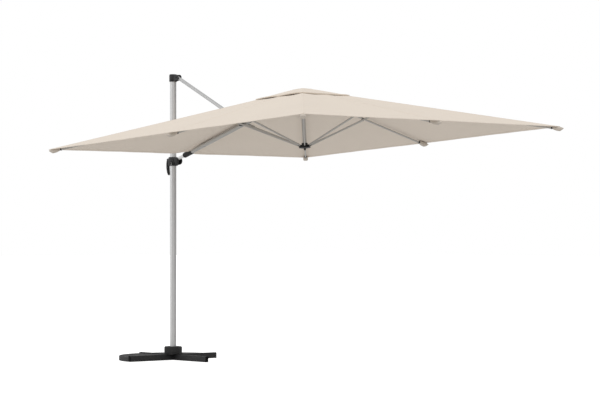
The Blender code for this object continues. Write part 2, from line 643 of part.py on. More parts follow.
def build_strut(name, azimuth, rib_frame, joint, metal):
    """Strut from the rib's pin down to the runner."""
    start = rib_frame @ Vector((joint, 0.0, -STRUT_DROP))
    spoke = CANOPY_FRAME @ turn(math.radians(azimuth), "Z")
    end = spoke @ Vector((HUB_CIRCLE, 0.0, RUNNER_HEIGHT))
    local = spoke.inverted()
    a, b = local @ start, local @ end
    slope = math.atan2(-(b.z - a.z), b.x - a.x)
    frame = Matrix.Translation(start) @ spoke.to_3x3().to_4x4() @ turn(slope, "Y")
    length = (end - start).length
    outline = round_ended(length, STRUT_DEPTH / 2)
    strut = make_object(name, prism_shape(outline, -STRUT_WIDTH / 2, STRUT_WIDTH / 2), frame, metal)
    hole = rod_shape(STRUT_PIN_RADIUS + GAP, -0.02, 0.02, 12)
    combine(strut, helper(name + "_hole", hole, frame), "DIFFERENCE")


# ---- canopy -------------------------------------------------------------------------------------
def cloth_height(u, v):
    """Height of the cloth's underside over the edges, with the rise over the arm."""
    share = max(abs(u), abs(v)) / CANOPY_HALF
    height = PANEL_PEAK * (1.0 - share)
    if u < 0 and abs(v) <= abs(u):
        height += ARM_LIFT * share * (1.0 - abs(v) / abs(u))
    return height


def drawn_in(u, v):
    """Move a point of the outer edge towards the pole, most of all half way to a corner."""
    along_edge = min(abs(u), abs(v)) / CANOPY_HALF
    inset = SCALLOP * math.sin(math.pi * along_edge) ** 2
    factor = 1.0 - inset / CANOPY_HALF
    return (u * factor, v) if abs(u) >= abs(v) else (u, v * factor)


def panel_outline(azimuth):
    """Inner and outer rows of plan points of the panel around one rib, in matching order."""
    spread = math.tan(math.radians(22.5))
    if azimuth % 90 == 0:
        rows = [(1.0, -spread), (1.0, -spread / 2), (1.0, 0.0), (1.0, spread / 2), (1.0, spread)]
        heading = math.radians(azimuth)
    else:
        rows = [(1.0, spread), (1.0, 0.6), (1.0, 0.8), (1.0, 1.0), (0.8, 1.0), (0.6, 1.0), (spread, 1.0)]
        heading = math.radians(azimuth - 45.0)
    cos, sin = math.cos(heading), math.sin(heading)
    return [(x * cos - y * sin, x * sin + y * cos) for x, y in rows]


def build_panel(name, azimuth, cloth):
    """Thin shell from the vent opening to the edge, on both sides of one rib."""
    directions = panel_outline(azimuth)
    levels = [VENT_HOLE, 0.45, 0.80, 1.15, CANOPY_HALF]
    last = len(directions) - 1
    shape = bmesh.new()
    sheets = []
    for thickness in (0.0, CLOTH):
        rows = []
        for level in levels:
            row = []
            for index, (x, y) in enumerate(directions):
                u, v = x * level, y * level
                height = cloth_height(u, v)
                if level == CANOPY_HALF:
                    u, v = drawn_in(u, v)
                if index in (0, last):
                    u, v = trimmed(u, v, azimuth)
                row.append(shape.verts.new((u, v, height + thickness)))
            rows.append(row)
        sheets.append(rows)
    low, high = sheets
    for i in range(len(levels) - 1):
        for j in range(last):
            shape.faces.new((low[i][j], low[i][j + 1], low[i + 1][j + 1], low[i + 1][j]))
            shape.faces.new((high[i][j], high[i + 1][j], high[i + 1][j + 1], high[i][j + 1]))
    for j in range(last):
        shape.faces.new((low[0][j], high[0][j], high[0][j + 1], low[0][j + 1]))
        shape.faces.new((low[-1][j], low[-1][j + 1], high[-1][j + 1], high[-1][j]))
    for i in range(len(levels) - 1):
        shape.faces.new((low[i][0], low[i + 1][0], high[i + 1][0], high[i][0]))
        shape.faces.new((low[i][-1], high[i][-1], high[i + 1][-1], low[i + 1][-1]))
    return make_object(name, shape, CANOPY_FRAME, cloth)


def trimmed(u, v, azimuth):
    """Pull a side edge back from the neighbouring panel by half the gap."""
    heading = math.radians(azimuth)
    across = (-math.sin(heading), math.cos(heading))
    side = 1.0 if u * across[0] + v * across[1] > 0 else -1.0
    return u - side * across[0] * PANEL_GAP / 2, v - side * across[1] * PANEL_GAP / 2


def build_canopy(cloth):
    for side, azimuth in {**SIDE_AZIMUTHS, **CORNER_AZIMUTHS}.items():
        build_panel("canopy_" + side, azimuth, cloth)
    rear = build_panel("canopy_rear", 180.0, cloth)
    slit = box_shape(*SLIT, -SLIT_HALF, SLIT_HALF, -0.2, 0.6)
    combine(rear, helper("rod_slit", slit, CANOPY_FRAME), "DIFFERENCE")
    build_vent_cap(cloth)


def build_vent_cap(cloth):
    """Small second roof that covers the opening at the peak."""
    shape = bmesh.new()
    sheets = []
    edge_height = PANEL_PEAK * (1.0 - VENT_HALF / CANOPY_HALF) + 0.010
    peak = PEAK - CLOTH
    for thickness in (0.0, CLOTH):
        corners = [shape.verts.new((VENT_HALF * x, VENT_HALF * y, edge_height + thickness))
                   for x, y in ((-1, -1), (1, -1), (1, 1), (-1, 1))]
        sheets.append((shape.verts.new((0.0, 0.0, peak + thickness)), corners))
    for i in range(4):
        j = (i + 1) % 4
        for middle, corners in sheets:
            shape.faces.new((middle, corners[i], corners[j]))
        shape.faces.new((sheets[0][1][i], sheets[0][1][j], sheets[1][1][j], sheets[1][1][i]))
    make_object("vent_cap", shape, CANOPY_FRAME, cloth)


def put_origin(names, pivot):
    """Move the origin of each named piece onto its joint's axis, and leave the piece where it is."""
    for name in names:
        piece = bpy.data.objects[name]
        frame = Matrix.Translation(pivot) @ piece.matrix_world.to_3x3().to_4x4()
        piece.data.transform(frame.inverted() @ piece.matrix_world)
        piece.matrix_world = frame


# ---- whole parasol ------------------------------------------------------------------------------
def main():
    clear_scene()
    paint = make_material("charcoal paint", (0.035, 0.035, 0.037), 0.55, 0.3)
    plug_plastic = make_material("plug plastic", (0.010, 0.010, 0.010), 0.45)
    stone = make_material("ballast composite", (0.085, 0.085, 0.088), 0.70)
    steel = make_material("zinc steel", (0.45, 0.45, 0.44), 0.35, 0.9)
    aluminium = make_material("anodised aluminium", (0.50, 0.50, 0.49), 0.35, 0.85)
    white = make_material("white tube", (0.78, 0.78, 0.77), 0.40)
    black = make_material("black plastic", (0.022, 0.022, 0.024), 0.50)
    bush_plastic = make_material("bush plastic", (0.72, 0.71, 0.68), 0.50)
    cloth = make_material("ecru cloth", (0.72, 0.66, 0.57), 0.90)

    build_base(paint, plug_plastic, stone, steel)
    build_mast(aluminium, black, bush_plastic)
    build_slider(black, bush_plastic, steel)
    build_release_lever(black)
    build_arm(aluminium, white, black, steel)
    build_star_knob(black)
    build_lever(aluminium)
    build_hubs(black, aluminium, steel)
    build_ribs_and_struts(aluminium, aluminium)
    build_canopy(cloth)
    put_origin(["top_hub", "centre_pole", "vent_cap"], HUB_PIVOT)
    put_origin(["lower_hub"], RUNNER_PIVOT)
    put_origin(["upper_rod", "link_strut"], KNOB_PIVOT)
    put_origin(["canopy_rear"], ARM_PIVOT)
    for side, azimuth in {**SIDE_AZIMUTHS, **CORNER_AZIMUTHS}.items():
        put_origin(["canopy_" + side], rib_data(azimuth)[0].translation)


main()
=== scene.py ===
"""Looks of a cantilever parasol: sewn canopy, folding frame, mast, slider and cross base, around the
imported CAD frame. Metres, +Z up, +X from the mast towards the canopy."""
import json
import math

import bmesh
import bpy
from mathutils import Matrix, Vector


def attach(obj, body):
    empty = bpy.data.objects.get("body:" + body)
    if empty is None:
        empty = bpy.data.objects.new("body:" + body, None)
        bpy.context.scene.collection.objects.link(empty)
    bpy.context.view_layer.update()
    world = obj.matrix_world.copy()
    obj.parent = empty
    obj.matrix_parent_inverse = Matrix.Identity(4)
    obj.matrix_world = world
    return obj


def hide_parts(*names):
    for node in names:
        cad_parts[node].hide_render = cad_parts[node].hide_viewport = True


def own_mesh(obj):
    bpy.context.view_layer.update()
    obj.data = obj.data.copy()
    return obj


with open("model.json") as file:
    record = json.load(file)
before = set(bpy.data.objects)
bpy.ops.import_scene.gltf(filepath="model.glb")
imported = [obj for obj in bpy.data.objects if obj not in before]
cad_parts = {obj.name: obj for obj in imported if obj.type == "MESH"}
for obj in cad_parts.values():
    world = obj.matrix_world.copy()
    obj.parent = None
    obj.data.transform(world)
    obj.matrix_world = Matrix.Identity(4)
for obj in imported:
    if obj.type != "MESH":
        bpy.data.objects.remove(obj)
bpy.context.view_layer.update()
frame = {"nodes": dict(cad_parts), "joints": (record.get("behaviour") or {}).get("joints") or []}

# ---- sizes, in metres ---------------------------------------------------------------------------
CANOPY_HALF = 1.5
HUB_OVER_EDGE = 0.371            # the hub's pivots over the canopy's edges
HUB_CIRCLE = 0.047
ROOF_RISE = 0.415                # where the roof's planes meet, over the edges
VENT_HOLE = 0.16                 # half side of the opening under the vent cap
VENT_HALF = 0.275                # half side of the vent cap
VENT_ROUNDING = 0.045            # reach of the rounding at the vent's peak
SCALLOP = 0.016                  # how far each edge is drawn in between its corner and its middle
SAG = 0.009                      # of the cloth half way between two ribs
EDGE_RISE = 0.008                # the cloth's edge over the rib ends' line
ARM_LIFT = 0.0128                # rise of the cloth over the arm's tube
NOTCH = 0.100                    # depth of the notch in the cloth's rear edge, over the arm's sleeve
NOTCH_SPREAD = 0.040             # half width of the notch
ARM_SPREAD = 0.090               # half width of the cloth's rise over the arm, at the outer edge
CLOTH = 0.0012                   # thickness of the cloth
HEM_WIDTH = 0.028
SEAM_WIDTH = 0.016
SLIT = (-0.795, -0.722)          # ends of the two slits for the lever's cheeks, along the arm
SLIT_SHARE = 0.038               # outer side of both slits, as a share of the distance from the pole
RIB_SIZE = (0.012, 0.015)
SIDE_RIB = (1.49, 0.383, 1.443)  # distance of the rib's end from the pole, and the rib's drop and run
CORNER_RIB = (2.10, 0.38, 2.05)
STRUT_SIZE = (0.010, 0.015)
STRUT_DROP = 0.016
MAST_RADIUS = 0.0275
MAST_TOP = 2.516
BAR_WIDTH = 0.030
BAR_HEIGHT = 0.051
BAR_REACH = 0.478
SLAB_RADIUS = 0.476
SLAB_HEIGHT = 0.042
BASE_TURN = math.radians(-3.8)
ARM_RADIUS = 0.019
SLEEVE = (0.086, 0.196)          # ends of the black sleeve, along the arm
ROD_START = 0.130
LINK_START = 0.080
BLOCK_LENGTH = 0.036
WEAVE_PERIOD = 0.0014
STITCH_PERIOD = 0.0042
STITCH_ROWS = (0.004, 0.012, 0.024)
STITCH_HALF_WIDTH = 0.0006

SIDE_AZIMUTHS = {"right": -90.0, "front": 0.0, "left": 90.0}
CORNER_AZIMUTHS = {
    "rear_right": -135.0, "front_right": -45.0, "front_left": 45.0, "rear_left": 135.0,
}
RIB_AZIMUTHS = {**SIDE_AZIMUTHS, **CORNER_AZIMUTHS}
PANEL_AZIMUTHS = {**RIB_AZIMUTHS, "rear": 180.0}
PIVOTS = {joint["name"]: Vector(joint["pos_m"]) for joint in frame["joints"] if "pos_m" in joint}


# ---- frames -------------------------------------------------------------------------------------
def move(x=0.0, y=0.0, z=0.0):
    return Matrix.Translation((x, y, z))


def turn(angle, axis):
    return Matrix.Rotation(angle, 4, axis)


def facing(place, sign):
    """The place itself, or turned half way round for the piece on the other side."""
    return place if sign > 0 else place @ turn(math.pi, "Z")


def along(start, end):
    """Frame at start whose x axis points at end, for points in the plane y = 0."""
    run = end - start
    return Matrix.Translation(start) @ turn(math.atan2(-run.z, run.x), "Y")


CANOPY_TILT = math.asin(next(j["axis"][2] for j in frame["joints"] if j["name"] == "rib_right_fold"))
HUB_CENTRE = (PIVOTS["rib_left_fold"] + PIVOTS["rib_right_fold"]) / 2
HUB_FRAME = Matrix.Translation(HUB_CENTRE) @ turn(-CANOPY_TILT, "Y")
CANOPY_FRAME = HUB_FRAME @ move(0.0, 0.0, -HUB_OVER_EDGE)
RUNNER_FRAME = (Matrix.Translation(PIVOTS["runner_tilt"]) @ turn(-CANOPY_TILT, "Y")
                @ move(HUB_CIRCLE, 0.0, 0.0))
ARM_PIVOT = PIVOTS["canopy_fold"]
KNOB_PIVOT = PIVOTS["lever_swing"]
ROD_PIVOT = Vector((0.062, 0.0, 2.484))
LEVER_PIVOT = PIVOTS["release_lever_pull"]
ARM_FRAME = along(ARM_PIVOT, PIVOTS["hub_tilt"])
ROD_FRAME = along(ROD_PIVOT, KNOB_PIVOT)
LINK_FRAME = along(KNOB_PIVOT, PIVOTS["runner_tilt"])
BASE_FRAME = turn(BASE_TURN, "Z")


def rib_frame(side):
    """Frame at the rib's pivot, x along the rib."""
    azimuth = RIB_AZIMUTHS[side]
    spoke = HUB_FRAME @ turn(math.radians(azimuth), "Z")
    joint = spoke.inverted() @ PIVOTS[f"strut_{side}_fold"] - Vector((HUB_CIRCLE, 0.0, 0.0))
    reach = math.sqrt(joint.length_squared - STRUT_DROP ** 2)
    slope = math.atan2(-joint.z, joint.x) - math.atan2(STRUT_DROP, reach)
    return spoke @ move(HUB_CIRCLE) @ turn(slope, "Y"), reach


# ---- material building --------------------------------------------------------------------------
def new_material(name, roughness, metallic=0.0):
    material = bpy.data.materials.new(name)
    material.use_nodes = True
    tree = material.node_tree
    shader = tree.nodes["Principled BSDF"]
    shader.inputs["Roughness"].default_value = roughness
    shader.inputs["Metallic"].default_value = metallic
    return material, tree, shader


def node(tree, kind, **settings):
    made = tree.nodes.new(kind)
    for key, value in settings.items():
        if key in made.inputs:
            made.inputs[key].default_value = value
        else:
            setattr(made, key.lower(), value)
    return made


def position(tree, scale=(1.0, 1.0, 1.0), rotation=(0.0, 0.0, 0.0)):
    """The point on the piece in metres, stretched and turned."""
    source = node(tree, "ShaderNodeTexCoord")
    mapping = node(tree, "ShaderNodeMapping")
    mapping.inputs["Scale"].default_value = scale
    mapping.inputs["Rotation"].default_value = rotation
    tree.links.new(source.outputs["Object"], mapping.inputs["Vector"])
    return mapping.outputs["Vector"]


def noise(tree, vector, scale, detail=3.0, roughness=0.5):
    made = node(tree, "ShaderNodeTexNoise")
    made.inputs["Scale"].default_value = scale
    made.inputs["Detail"].default_value = detail
    made.inputs["Roughness"].default_value = roughness
    tree.links.new(vector, made.inputs["Vector"])
    return made.outputs["Fac"]


def math_node(tree, operation, first, second=None):
    made = node(tree, "ShaderNodeMath")
    made.operation = operation
    for index, value in enumerate((first, second)):
        if value is None:
            continue
        if isinstance(value, (int, float)):
            made.inputs[index].default_value = value
        else:
            tree.links.new(value, made.inputs[index])
    return made.outputs[0]


def ramp(tree, factor, stops):
    made = node(tree, "ShaderNodeValToRGB")
    elements = made.color_ramp.elements
    while len(elements) < len(stops):
        elements.new(0.5)
    for element, (place, colour) in zip(elements, stops):
        element.position = place
        element.color = (*colour, 1.0)
    tree.links.new(factor, made.inputs["Fac"])
    return made.outputs["Color"]


def shade(colour, factor):
    return tuple(channel * factor for channel in colour)


def bump(tree, shader, height, strength, distance):
    made = node(tree, "ShaderNodeBump")
    made.inputs["Strength"].default_value = strength
    made.inputs["Distance"].default_value = distance
    tree.links.new(height, made.inputs["Height"])
    tree.links.new(made.outputs["Normal"], shader.inputs["Normal"])


def weave_height(tree, vector, period):
    """Plain weave: warp and weft pass over each other in turn."""
    split = node(tree, "ShaderNodeSeparateXYZ")
    tree.links.new(vector, split.inputs["Vector"])
    warp = math_node(tree, "SINE", math_node(tree, "MULTIPLY", split.outputs["X"], 2 * math.pi / period))
    weft = math_node(tree, "SINE", math_node(tree, "MULTIPLY", split.outputs["Y"], 2 * math.pi / period))
    return math_node(tree, "MULTIPLY", warp, weft)


def make_cloth(name, colour, stitched=False):
    """Ecru canvas with a plain weave, slubs and faint weather marks, and stitches along a hem."""
    material, tree, shader = new_material(name, 0.86)
    shader.inputs["Sheen Weight"].default_value = 0.12
    shader.inputs["Sheen Roughness"].default_value = 0.5
    shader.inputs["Specular IOR Level"].default_value = 0.25
    weave = weave_height(tree, position(tree, rotation=(0.0, CANOPY_TILT, 0.0)), WEAVE_PERIOD)
    slubs = noise(tree, position(tree, (9.0, 420.0, 420.0)), 1.0, 2.0)
    crossing_slubs = noise(tree, position(tree, (420.0, 9.0, 420.0)), 1.0, 2.0)
    marks = noise(tree, position(tree), 1.7, 4.0, 0.6)
    uneven = math_node(tree, "MULTIPLY", math_node(tree, "ADD", slubs, crossing_slubs), 0.3)
    tone = math_node(tree, "ADD", uneven, math_node(tree, "MULTIPLY", marks, 0.4))
    body = ramp(tree, tone, [(0.25, shade(colour, 0.955)), (0.5, colour), (0.75, shade(colour, 1.03))])
    height = math_node(tree, "ADD", math_node(tree, "MULTIPLY", weave, 0.5), uneven)
    if stitched:
        stitches = stitch_mask(tree)
        mixed = node(tree, "ShaderNodeMix")
        mixed.data_type = "RGBA"
        tree.links.new(stitches, mixed.inputs["Factor"])
        tree.links.new(body, mixed.inputs["A"])
        mixed.inputs["B"].default_value = (*shade(colour, 0.80), 1.0)
        body = mixed.outputs["Result"]
        height = math_node(tree, "SUBTRACT", height, math_node(tree, "MULTIPLY", stitches, 1.5))
    tree.links.new(body, shader.inputs["Base Color"])
    bump(tree, shader, height, 0.35, 0.0004)
    return material


def stitch_mask(tree):
    """Dashes along u, in rows across v. The map's unit is one metre."""
    source = node(tree, "ShaderNodeUVMap")
    source.uv_map = "sewing"
    split = node(tree, "ShaderNodeSeparateXYZ")
    tree.links.new(source.outputs["UV"], split.inputs["Vector"])
    step = math_node(tree, "FRACT", math_node(tree, "DIVIDE", split.outputs["X"], STITCH_PERIOD))
    dash = math_node(tree, "LESS_THAN", step, 0.72)
    rows = None
    for place in STITCH_ROWS:
        away = math_node(tree, "ABSOLUTE", math_node(tree, "SUBTRACT", split.outputs["Y"], place))
        row = math_node(tree, "LESS_THAN", away, STITCH_HALF_WIDTH)
        rows = row if rows is None else math_node(tree, "MAXIMUM", rows, row)
    return math_node(tree, "MULTIPLY", dash, rows)


def make_metal(name, colour, roughness, streak_axis, metallic=0.85):
    """Extruded, anodised aluminium: fine die lines along the piece and an uneven satin."""
    material, tree, shader = new_material(name, roughness, metallic)
    stretch = [700.0, 700.0, 700.0]
    if streak_axis is not None:
        stretch["XYZ".index(streak_axis)] = 4.0
    lines = noise(tree, position(tree, tuple(stretch)), 1.0, 2.0)
    clouds = noise(tree, position(tree), 9.0, 3.0)
    tone = math_node(tree, "ADD", math_node(tree, "MULTIPLY", lines, 0.6),
                     math_node(tree, "MULTIPLY", clouds, 0.4))
    tree.links.new(ramp(tree, tone, [(0.3, shade(colour, 0.93)), (0.7, shade(colour, 1.05))]),
                   shader.inputs["Base Color"])
    rough = math_node(tree, "ADD", math_node(tree, "MULTIPLY", tone, 0.16), roughness - 0.08)
    tree.links.new(rough, shader.inputs["Roughness"])
    bump(tree, shader, lines, 0.12, 0.0002)
    return material


def make_plastic(name, colour, roughness, grain=1600.0, depth=0.35, wear=1.35):
    """Moulded plastic: spark-eroded grain, slight cloudiness and rubbed, paler spots."""
    material, tree, shader = new_material(name, roughness)
    fine = noise(tree, position(tree), grain, 2.0)
    clouds = noise(tree, position(tree), 35.0, 4.0, 0.65)
    tree.links.new(ramp(tree, clouds, [(0.35, shade(colour, 0.85)), (0.6, colour),
                                       (0.78, shade(colour, wear))]), shader.inputs["Base Color"])
    rough = math_node(tree, "ADD", math_node(tree, "MULTIPLY", clouds, 0.22), roughness - 0.11)
    tree.links.new(rough, shader.inputs["Roughness"])
    bump(tree, shader, fine, depth, 0.0003)
    return material


def make_speckled(name, colour, roughness, speck, speck_scale, depth):
    """Cast or coated surface with pale specks and an orange-peel or pitted relief."""
    material, tree, shader = new_material(name, roughness)
    specks = noise(tree, position(tree), speck_scale, 2.0, 0.7)
    relief = noise(tree, position(tree), 420.0, 4.0, 0.6)
    clouds = noise(tree, position(tree), 6.0, 3.0)
    tone = math_node(tree, "ADD", math_node(tree, "MULTIPLY", specks, 0.75),
                     math_node(tree, "MULTIPLY", clouds, 0.25))
    tree.links.new(ramp(tree, tone, [(0.40, shade(colour, 0.88)), (0.58, colour), (0.72, speck)]),
                   shader.inputs["Base Color"])
    rough = math_node(tree, "ADD", math_node(tree, "MULTIPLY", relief, 0.20), roughness - 0.10)
    tree.links.new(rough, shader.inputs["Roughness"])
    bump(tree, shader, relief, depth, 0.0006)
    return material


ECRU = (0.735, 0.650, 0.557)
CLOTH_MATERIAL = make_cloth("ecru canvas", ECRU)
SEWN_MATERIAL = make_cloth("ecru canvas, sewn", shade(ECRU, 0.985), stitched=True)
# Pocket cloth: the canopy's own canvas, painted darker as painted shade for pockets that hang shaded under the
# edge.
SHADED_POCKET_CANVAS = make_cloth("pocket canvas, painted shade", (0.55, 0.492, 0.425))
MAST_METAL = make_metal("anodised mast", (0.60, 0.60, 0.60), 0.36, "Z")
TUBE_METAL = make_metal("anodised tube", (0.485, 0.475, 0.455), 0.52, None, 0.42)
ROD_METAL = make_metal("anodised rod", (0.47, 0.47, 0.47), 0.42, None)
ZINC = make_metal("zinc plated steel", (0.55, 0.55, 0.53), 0.34, None, 1.0)
WHITE_TUBE = make_plastic("white lacquer", (0.82, 0.82, 0.815), 0.35, 900.0, 0.10, 1.03)
BLACK = make_plastic("black plastic", (0.008, 0.008, 0.009), 0.46)
BLACK_RUBBED = make_plastic("black plastic, rubbed", (0.007, 0.007, 0.0075), 0.60, 1300.0, 0.4, 2.0)
PLUG = make_plastic("plug plastic", (0.002, 0.002, 0.002), 0.62)
PLUG.node_tree.nodes["Principled BSDF"].inputs["Specular IOR Level"].default_value = 0.15
COAT = make_speckled("charcoal powder coat", (0.010, 0.010, 0.011), 0.60, (0.024, 0.024, 0.025),
                     900.0, 0.25)
BALLAST = make_speckled("ballast composite", (0.040, 0.040, 0.041), 0.80, (0.085, 0.085, 0.088),
                        520.0, 0.5)
BUSH = make_plastic("bush plastic", (0.70, 0.69, 0.66), 0.42, 900.0, 0.1, 1.03)


# ---- mesh building ------------------------------------------------------------------------------
def finish_piece(name, shape, place, material, body, replaced=(), bevel=0.0, angle=35.0):
    """Turn a bmesh into a named piece in the row frame that rides on a body."""
    bmesh.ops.recalc_face_normals(shape, faces=shape.faces)
    mesh = bpy.data.meshes.new(name)
    shape.to_mesh(mesh)
    shape.free()
    mesh.transform(place)
    mesh.shade_smooth()
    mesh.set_sharp_from_angle(angle=math.radians(angle))
    mesh.materials.append(material)
    piece = bpy.data.objects.new(name, mesh)
    bpy.context.scene.collection.objects.link(piece)
    if bevel:
        rounding = piece.modifiers.new("rounded edges", "BEVEL")
        rounding.width = bevel
        rounding.segments = 2
        rounding.limit_method = "ANGLE"
        rounding.angle_limit = math.radians(40)
        rounding.harden_normals = False
    if body:
        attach(piece, body)
    if replaced:
        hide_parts(*replaced)
    return piece


def on_axis(a, b, level, axis):
    if axis == "Z":
        return (a, b, level)
    if axis == "X":
        return (level, a, b)
    return (b, level, a)


def bridge(shape, ring, following):
    if len(ring) == 1 and len(following) == 1:
        return
    count = max(len(ring), len(following))
    for i in range(count):
        j = (i + 1) % count
        if len(ring) == 1:
            shape.faces.new((ring[0], following[j], following[i]))
        elif len(following) == 1:
            shape.faces.new((ring[i], ring[j], following[0]))
        else:
            shape.faces.new((ring[i], ring[j], following[j], following[i]))


def add_turned(shape, profile, place=Matrix.Identity(4), axis="Z", sides=48, flute=None):
    """Add a closed profile of (radius, level) points turned about an axis. flute shapes the radius."""
    rings = []
    for radius, level in profile:
        if radius == 0.0:
            rings.append([shape.verts.new(place @ Vector(on_axis(0.0, 0.0, level, axis)))])
            continue
        ring = []
        for i in range(sides):
            angle = 2 * math.pi * i / sides
            r = radius * (flute(angle) if flute else 1.0)
            point = Vector(on_axis(r * math.cos(angle), r * math.sin(angle), level, axis))
            ring.append(shape.verts.new(place @ point))
        rings.append(ring)
    for ring, following in zip(rings, rings[1:] + rings[:1]):
        bridge(shape, ring, following)
    return shape


def add_prism(shape, outline, low, high, place=Matrix.Identity(4), axis="Y"):
    """Add an outline of two coordinates, extruded from low to high along an axis."""
    def corner(point, level):
        a, b = point
        spot = {"Y": (a, level, b), "X": (level, a, b), "Z": (a, b, level)}[axis]
        return shape.verts.new(place @ Vector(spot))
    first = [corner(point, low) for point in outline]
    last = [corner(point, high) for point in outline]
    shape.faces.new(first)
    shape.faces.new(last)
    count = len(outline)
    for i in range(count):
        j = (i + 1) % count
        shape.faces.new((first[i], first[j], last[j], last[i]))
    return shape


def arc(centre, radius, start, end, steps):
    points = []
    for i in range(steps + 1):
        angle = math.radians(start + (end - start) * i / steps)
        points.append((centre[0] + radius * math.cos(angle), centre[1] + radius * math.sin(angle)))
    return points


def rounded_rectangle(width, height, radius, steps=5):
    a, b = width / 2 - radius, height / 2 - radius
    points = []
    for x, y, start in ((a, b, 0), (-a, b, 90), (-a, -b, 180), (a, -b, 270)):
        points += arc((x, y), radius, start, start + 90, steps)
    return points


def capsule(start, end, radius, steps=12):
    heading = math.degrees(math.atan2(end[1] - start[1], end[0] - start[0]))
    return (arc(start, radius, heading + 90, heading + 270, steps)
            + arc(end, radius, heading - 90, heading + 90, steps))


def rounded_profile(radius, low, high, edge=0.002, inner=0.0):
    """Profile of a disc or ring with rounded outer edges."""
    outer = (arc((radius - edge, low + edge), edge, -90, 0, 4)
             + arc((radius - edge, high - edge), edge, 0, 90, 4))
    return [(inner, low)] + outer + [(inner, high)]


def add_screw(shape, place, radius, height, axis="Y", recess=0.5):
    """Button head with a round-cornered socket, standing on its own plane."""
    hole = radius * recess
    add_turned(shape, [
        (0.0, 0.0), (radius, 0.0), (radius, height * 0.35), (radius * 0.86, height * 0.8),
        (radius * 0.62, height), (hole, height), (hole * 0.94, height * 0.35), (0.0, height * 0.35),
    ], place, axis, 24)


# ---- canopy -------------------------------------------------------------------------------------
def roof_height(u, v):
    """Height of the roof's cloth over the edges: flat faces that sag between ribs."""
    largest, smallest = max(abs(u), abs(v)), min(abs(u), abs(v))
    share = largest / CANOPY_HALF
    between = math.sin(math.pi * smallest / largest) if largest else 0.0
    height = ROOF_RISE * (1.0 - share) + EDGE_RISE * share - SAG * 4 * share * (1.0 - share) * between ** 2
    folds = math.sin(9 * math.pi * smallest / max(largest, 0.1))
    height += 0.0007 * share ** 2 * folds * between
    if u < 0:
        height += ARM_LIFT * share ** 1.5 * math.exp(-(v / (ARM_SPREAD + 0.25 * (1.0 - share))) ** 2)
    return height


def roof_point(x, y, level):
    """Point of the roof in canopy coordinates, for a direction on the unit square's rim."""
    u, v = x * level, y * level
    height = roof_height(u, v)
    inset = SCALLOP * math.sin(math.pi * min(abs(x), abs(y))) ** 2 * (level / CANOPY_HALF) ** 5
    if x < -0.999:
        inset += NOTCH * math.exp(-(v / NOTCH_SPREAD) ** 4) * (level / CANOPY_HALF) ** 9
    if abs(x) >= abs(y):
        u -= math.copysign(inset, u)
    else:
        v -= math.copysign(inset, v)
    return Vector((u, v, height))


def vent_point(x, y, level):
    """Point of the vent cap, which is sewn down at the ribs and stands open between them."""
    share = level / VENT_HALF
    corner = min(abs(x), abs(y))
    gape = 0.0005 if x > 0.999 else 0.0068
    open_by = 0.0058 + gape * math.sin(math.pi * corner) ** 0.9 * share ** 2
    flat = roof_height(level, 0.0) - ROOF_RISE * (math.hypot(level, VENT_ROUNDING) - level) / CANOPY_HALF
    crown = 0.014 * max(0.0, 1.0 - share)
    u, v = x * level, y * level
    bow = 0.010 * math.sin(math.pi * corner) ** 2 * share ** 4
    if abs(x) >= abs(y):
        u -= math.copysign(bow, u)
    else:
        v -= math.copysign(bow, v)
    return Vector((u, v, flat + open_by + crown))


def rim_directions(azimuth, places):
    """Directions on the unit square's rim, 22.5 degrees to both sides of a rib at places from -1 to 1."""
    spread = math.tan(math.radians(22.5))
    directions = []
    for t in places:
        if azimuth % 90 == 0:
            directions.append((1.0, spread * t))
        elif t <= 0:
            directions.append((1.0, 1.0 + (1.0 - spread) * t))
        else:
            directions.append((1.0 - (1.0 - spread) * t, 1.0))
    heading = math.radians(azimuth if azimuth % 90 == 0 else azimuth - 45.0)
    cos, sin = round(math.cos(heading)), round(math.sin(heading))
    return [(x * cos - y * sin, x * sin + y * cos) for x, y in directions]


def sheet_shape(point_at, directions, levels, thickness, lift=0.0, sewing=False):
    """Closed thin sheet over a grid of directions and levels. It is centred on the cloth's surface."""
    shape = bmesh.new()
    grid = [[point_at(x, y, level) for x, y in directions] for level in levels]
    rows, columns = len(grid), len(directions)
    normals = [[surface_normal(grid, i, j) for j in range(columns)] for i in range(rows)]
    layers = []
    for side in (-1, 1):
        offset = lift + side * thickness / 2
        layers.append([[shape.verts.new(grid[i][j] + normals[i][j] * offset) for j in range(columns)]
                       for i in range(rows)])
    low, high = layers
    for i in range(rows - 1):
        for j in range(columns - 1):
            shape.faces.new((low[i][j], low[i][j + 1], low[i + 1][j + 1], low[i + 1][j]))
            shape.faces.new((high[i][j], high[i + 1][j], high[i + 1][j + 1], high[i][j + 1]))
    for j in range(columns - 1):
        shape.faces.new((low[0][j], high[0][j], high[0][j + 1], low[0][j + 1]))
        shape.faces.new((low[-1][j], low[-1][j + 1], high[-1][j + 1], high[-1][j]))
    for i in range(rows - 1):
        shape.faces.new((low[i][0], low[i + 1][0], high[i + 1][0], high[i][0]))
        shape.faces.new((low[i][-1], high[i][-1], high[i + 1][-1], low[i + 1][-1]))
    if sewing:
        map_sewing(shape, layers, grid)
    return shape


def surface_normal(grid, i, j):
    rows, columns = len(grid), len(grid[0])
    a = grid[min(i + 1, rows - 1)][j] - grid[max(i - 1, 0)][j]
    b = grid[i][min(j + 1, columns - 1)] - grid[i][max(j - 1, 0)]
    normal = a.cross(b)
    if normal.length < 1e-12:
        return Vector((0.0, 0.0, 1.0))
    normal.normalize()
    return normal if normal.z > 0 else -normal


def map_sewing(shape, layers, grid):
    """Map each corner to its distance along the columns and across the rows, in metres."""
    place = {}
    rows, columns = len(grid), len(grid[0])
    for layer in layers:
        for i in range(rows):
            reach = 0.0
            for j in range(columns):
                if j:
                    reach += (grid[-1][j] - grid[-1][j - 1]).length
                place[layer[i][j]] = (reach, (grid[-1][j] - grid[i][j]).length)
    layer_map = shape.loops.layers.uv.new("sewing")
    for face in shape.faces:
        for loop in face.loops:
            loop[layer_map].uv = place[loop.vert]


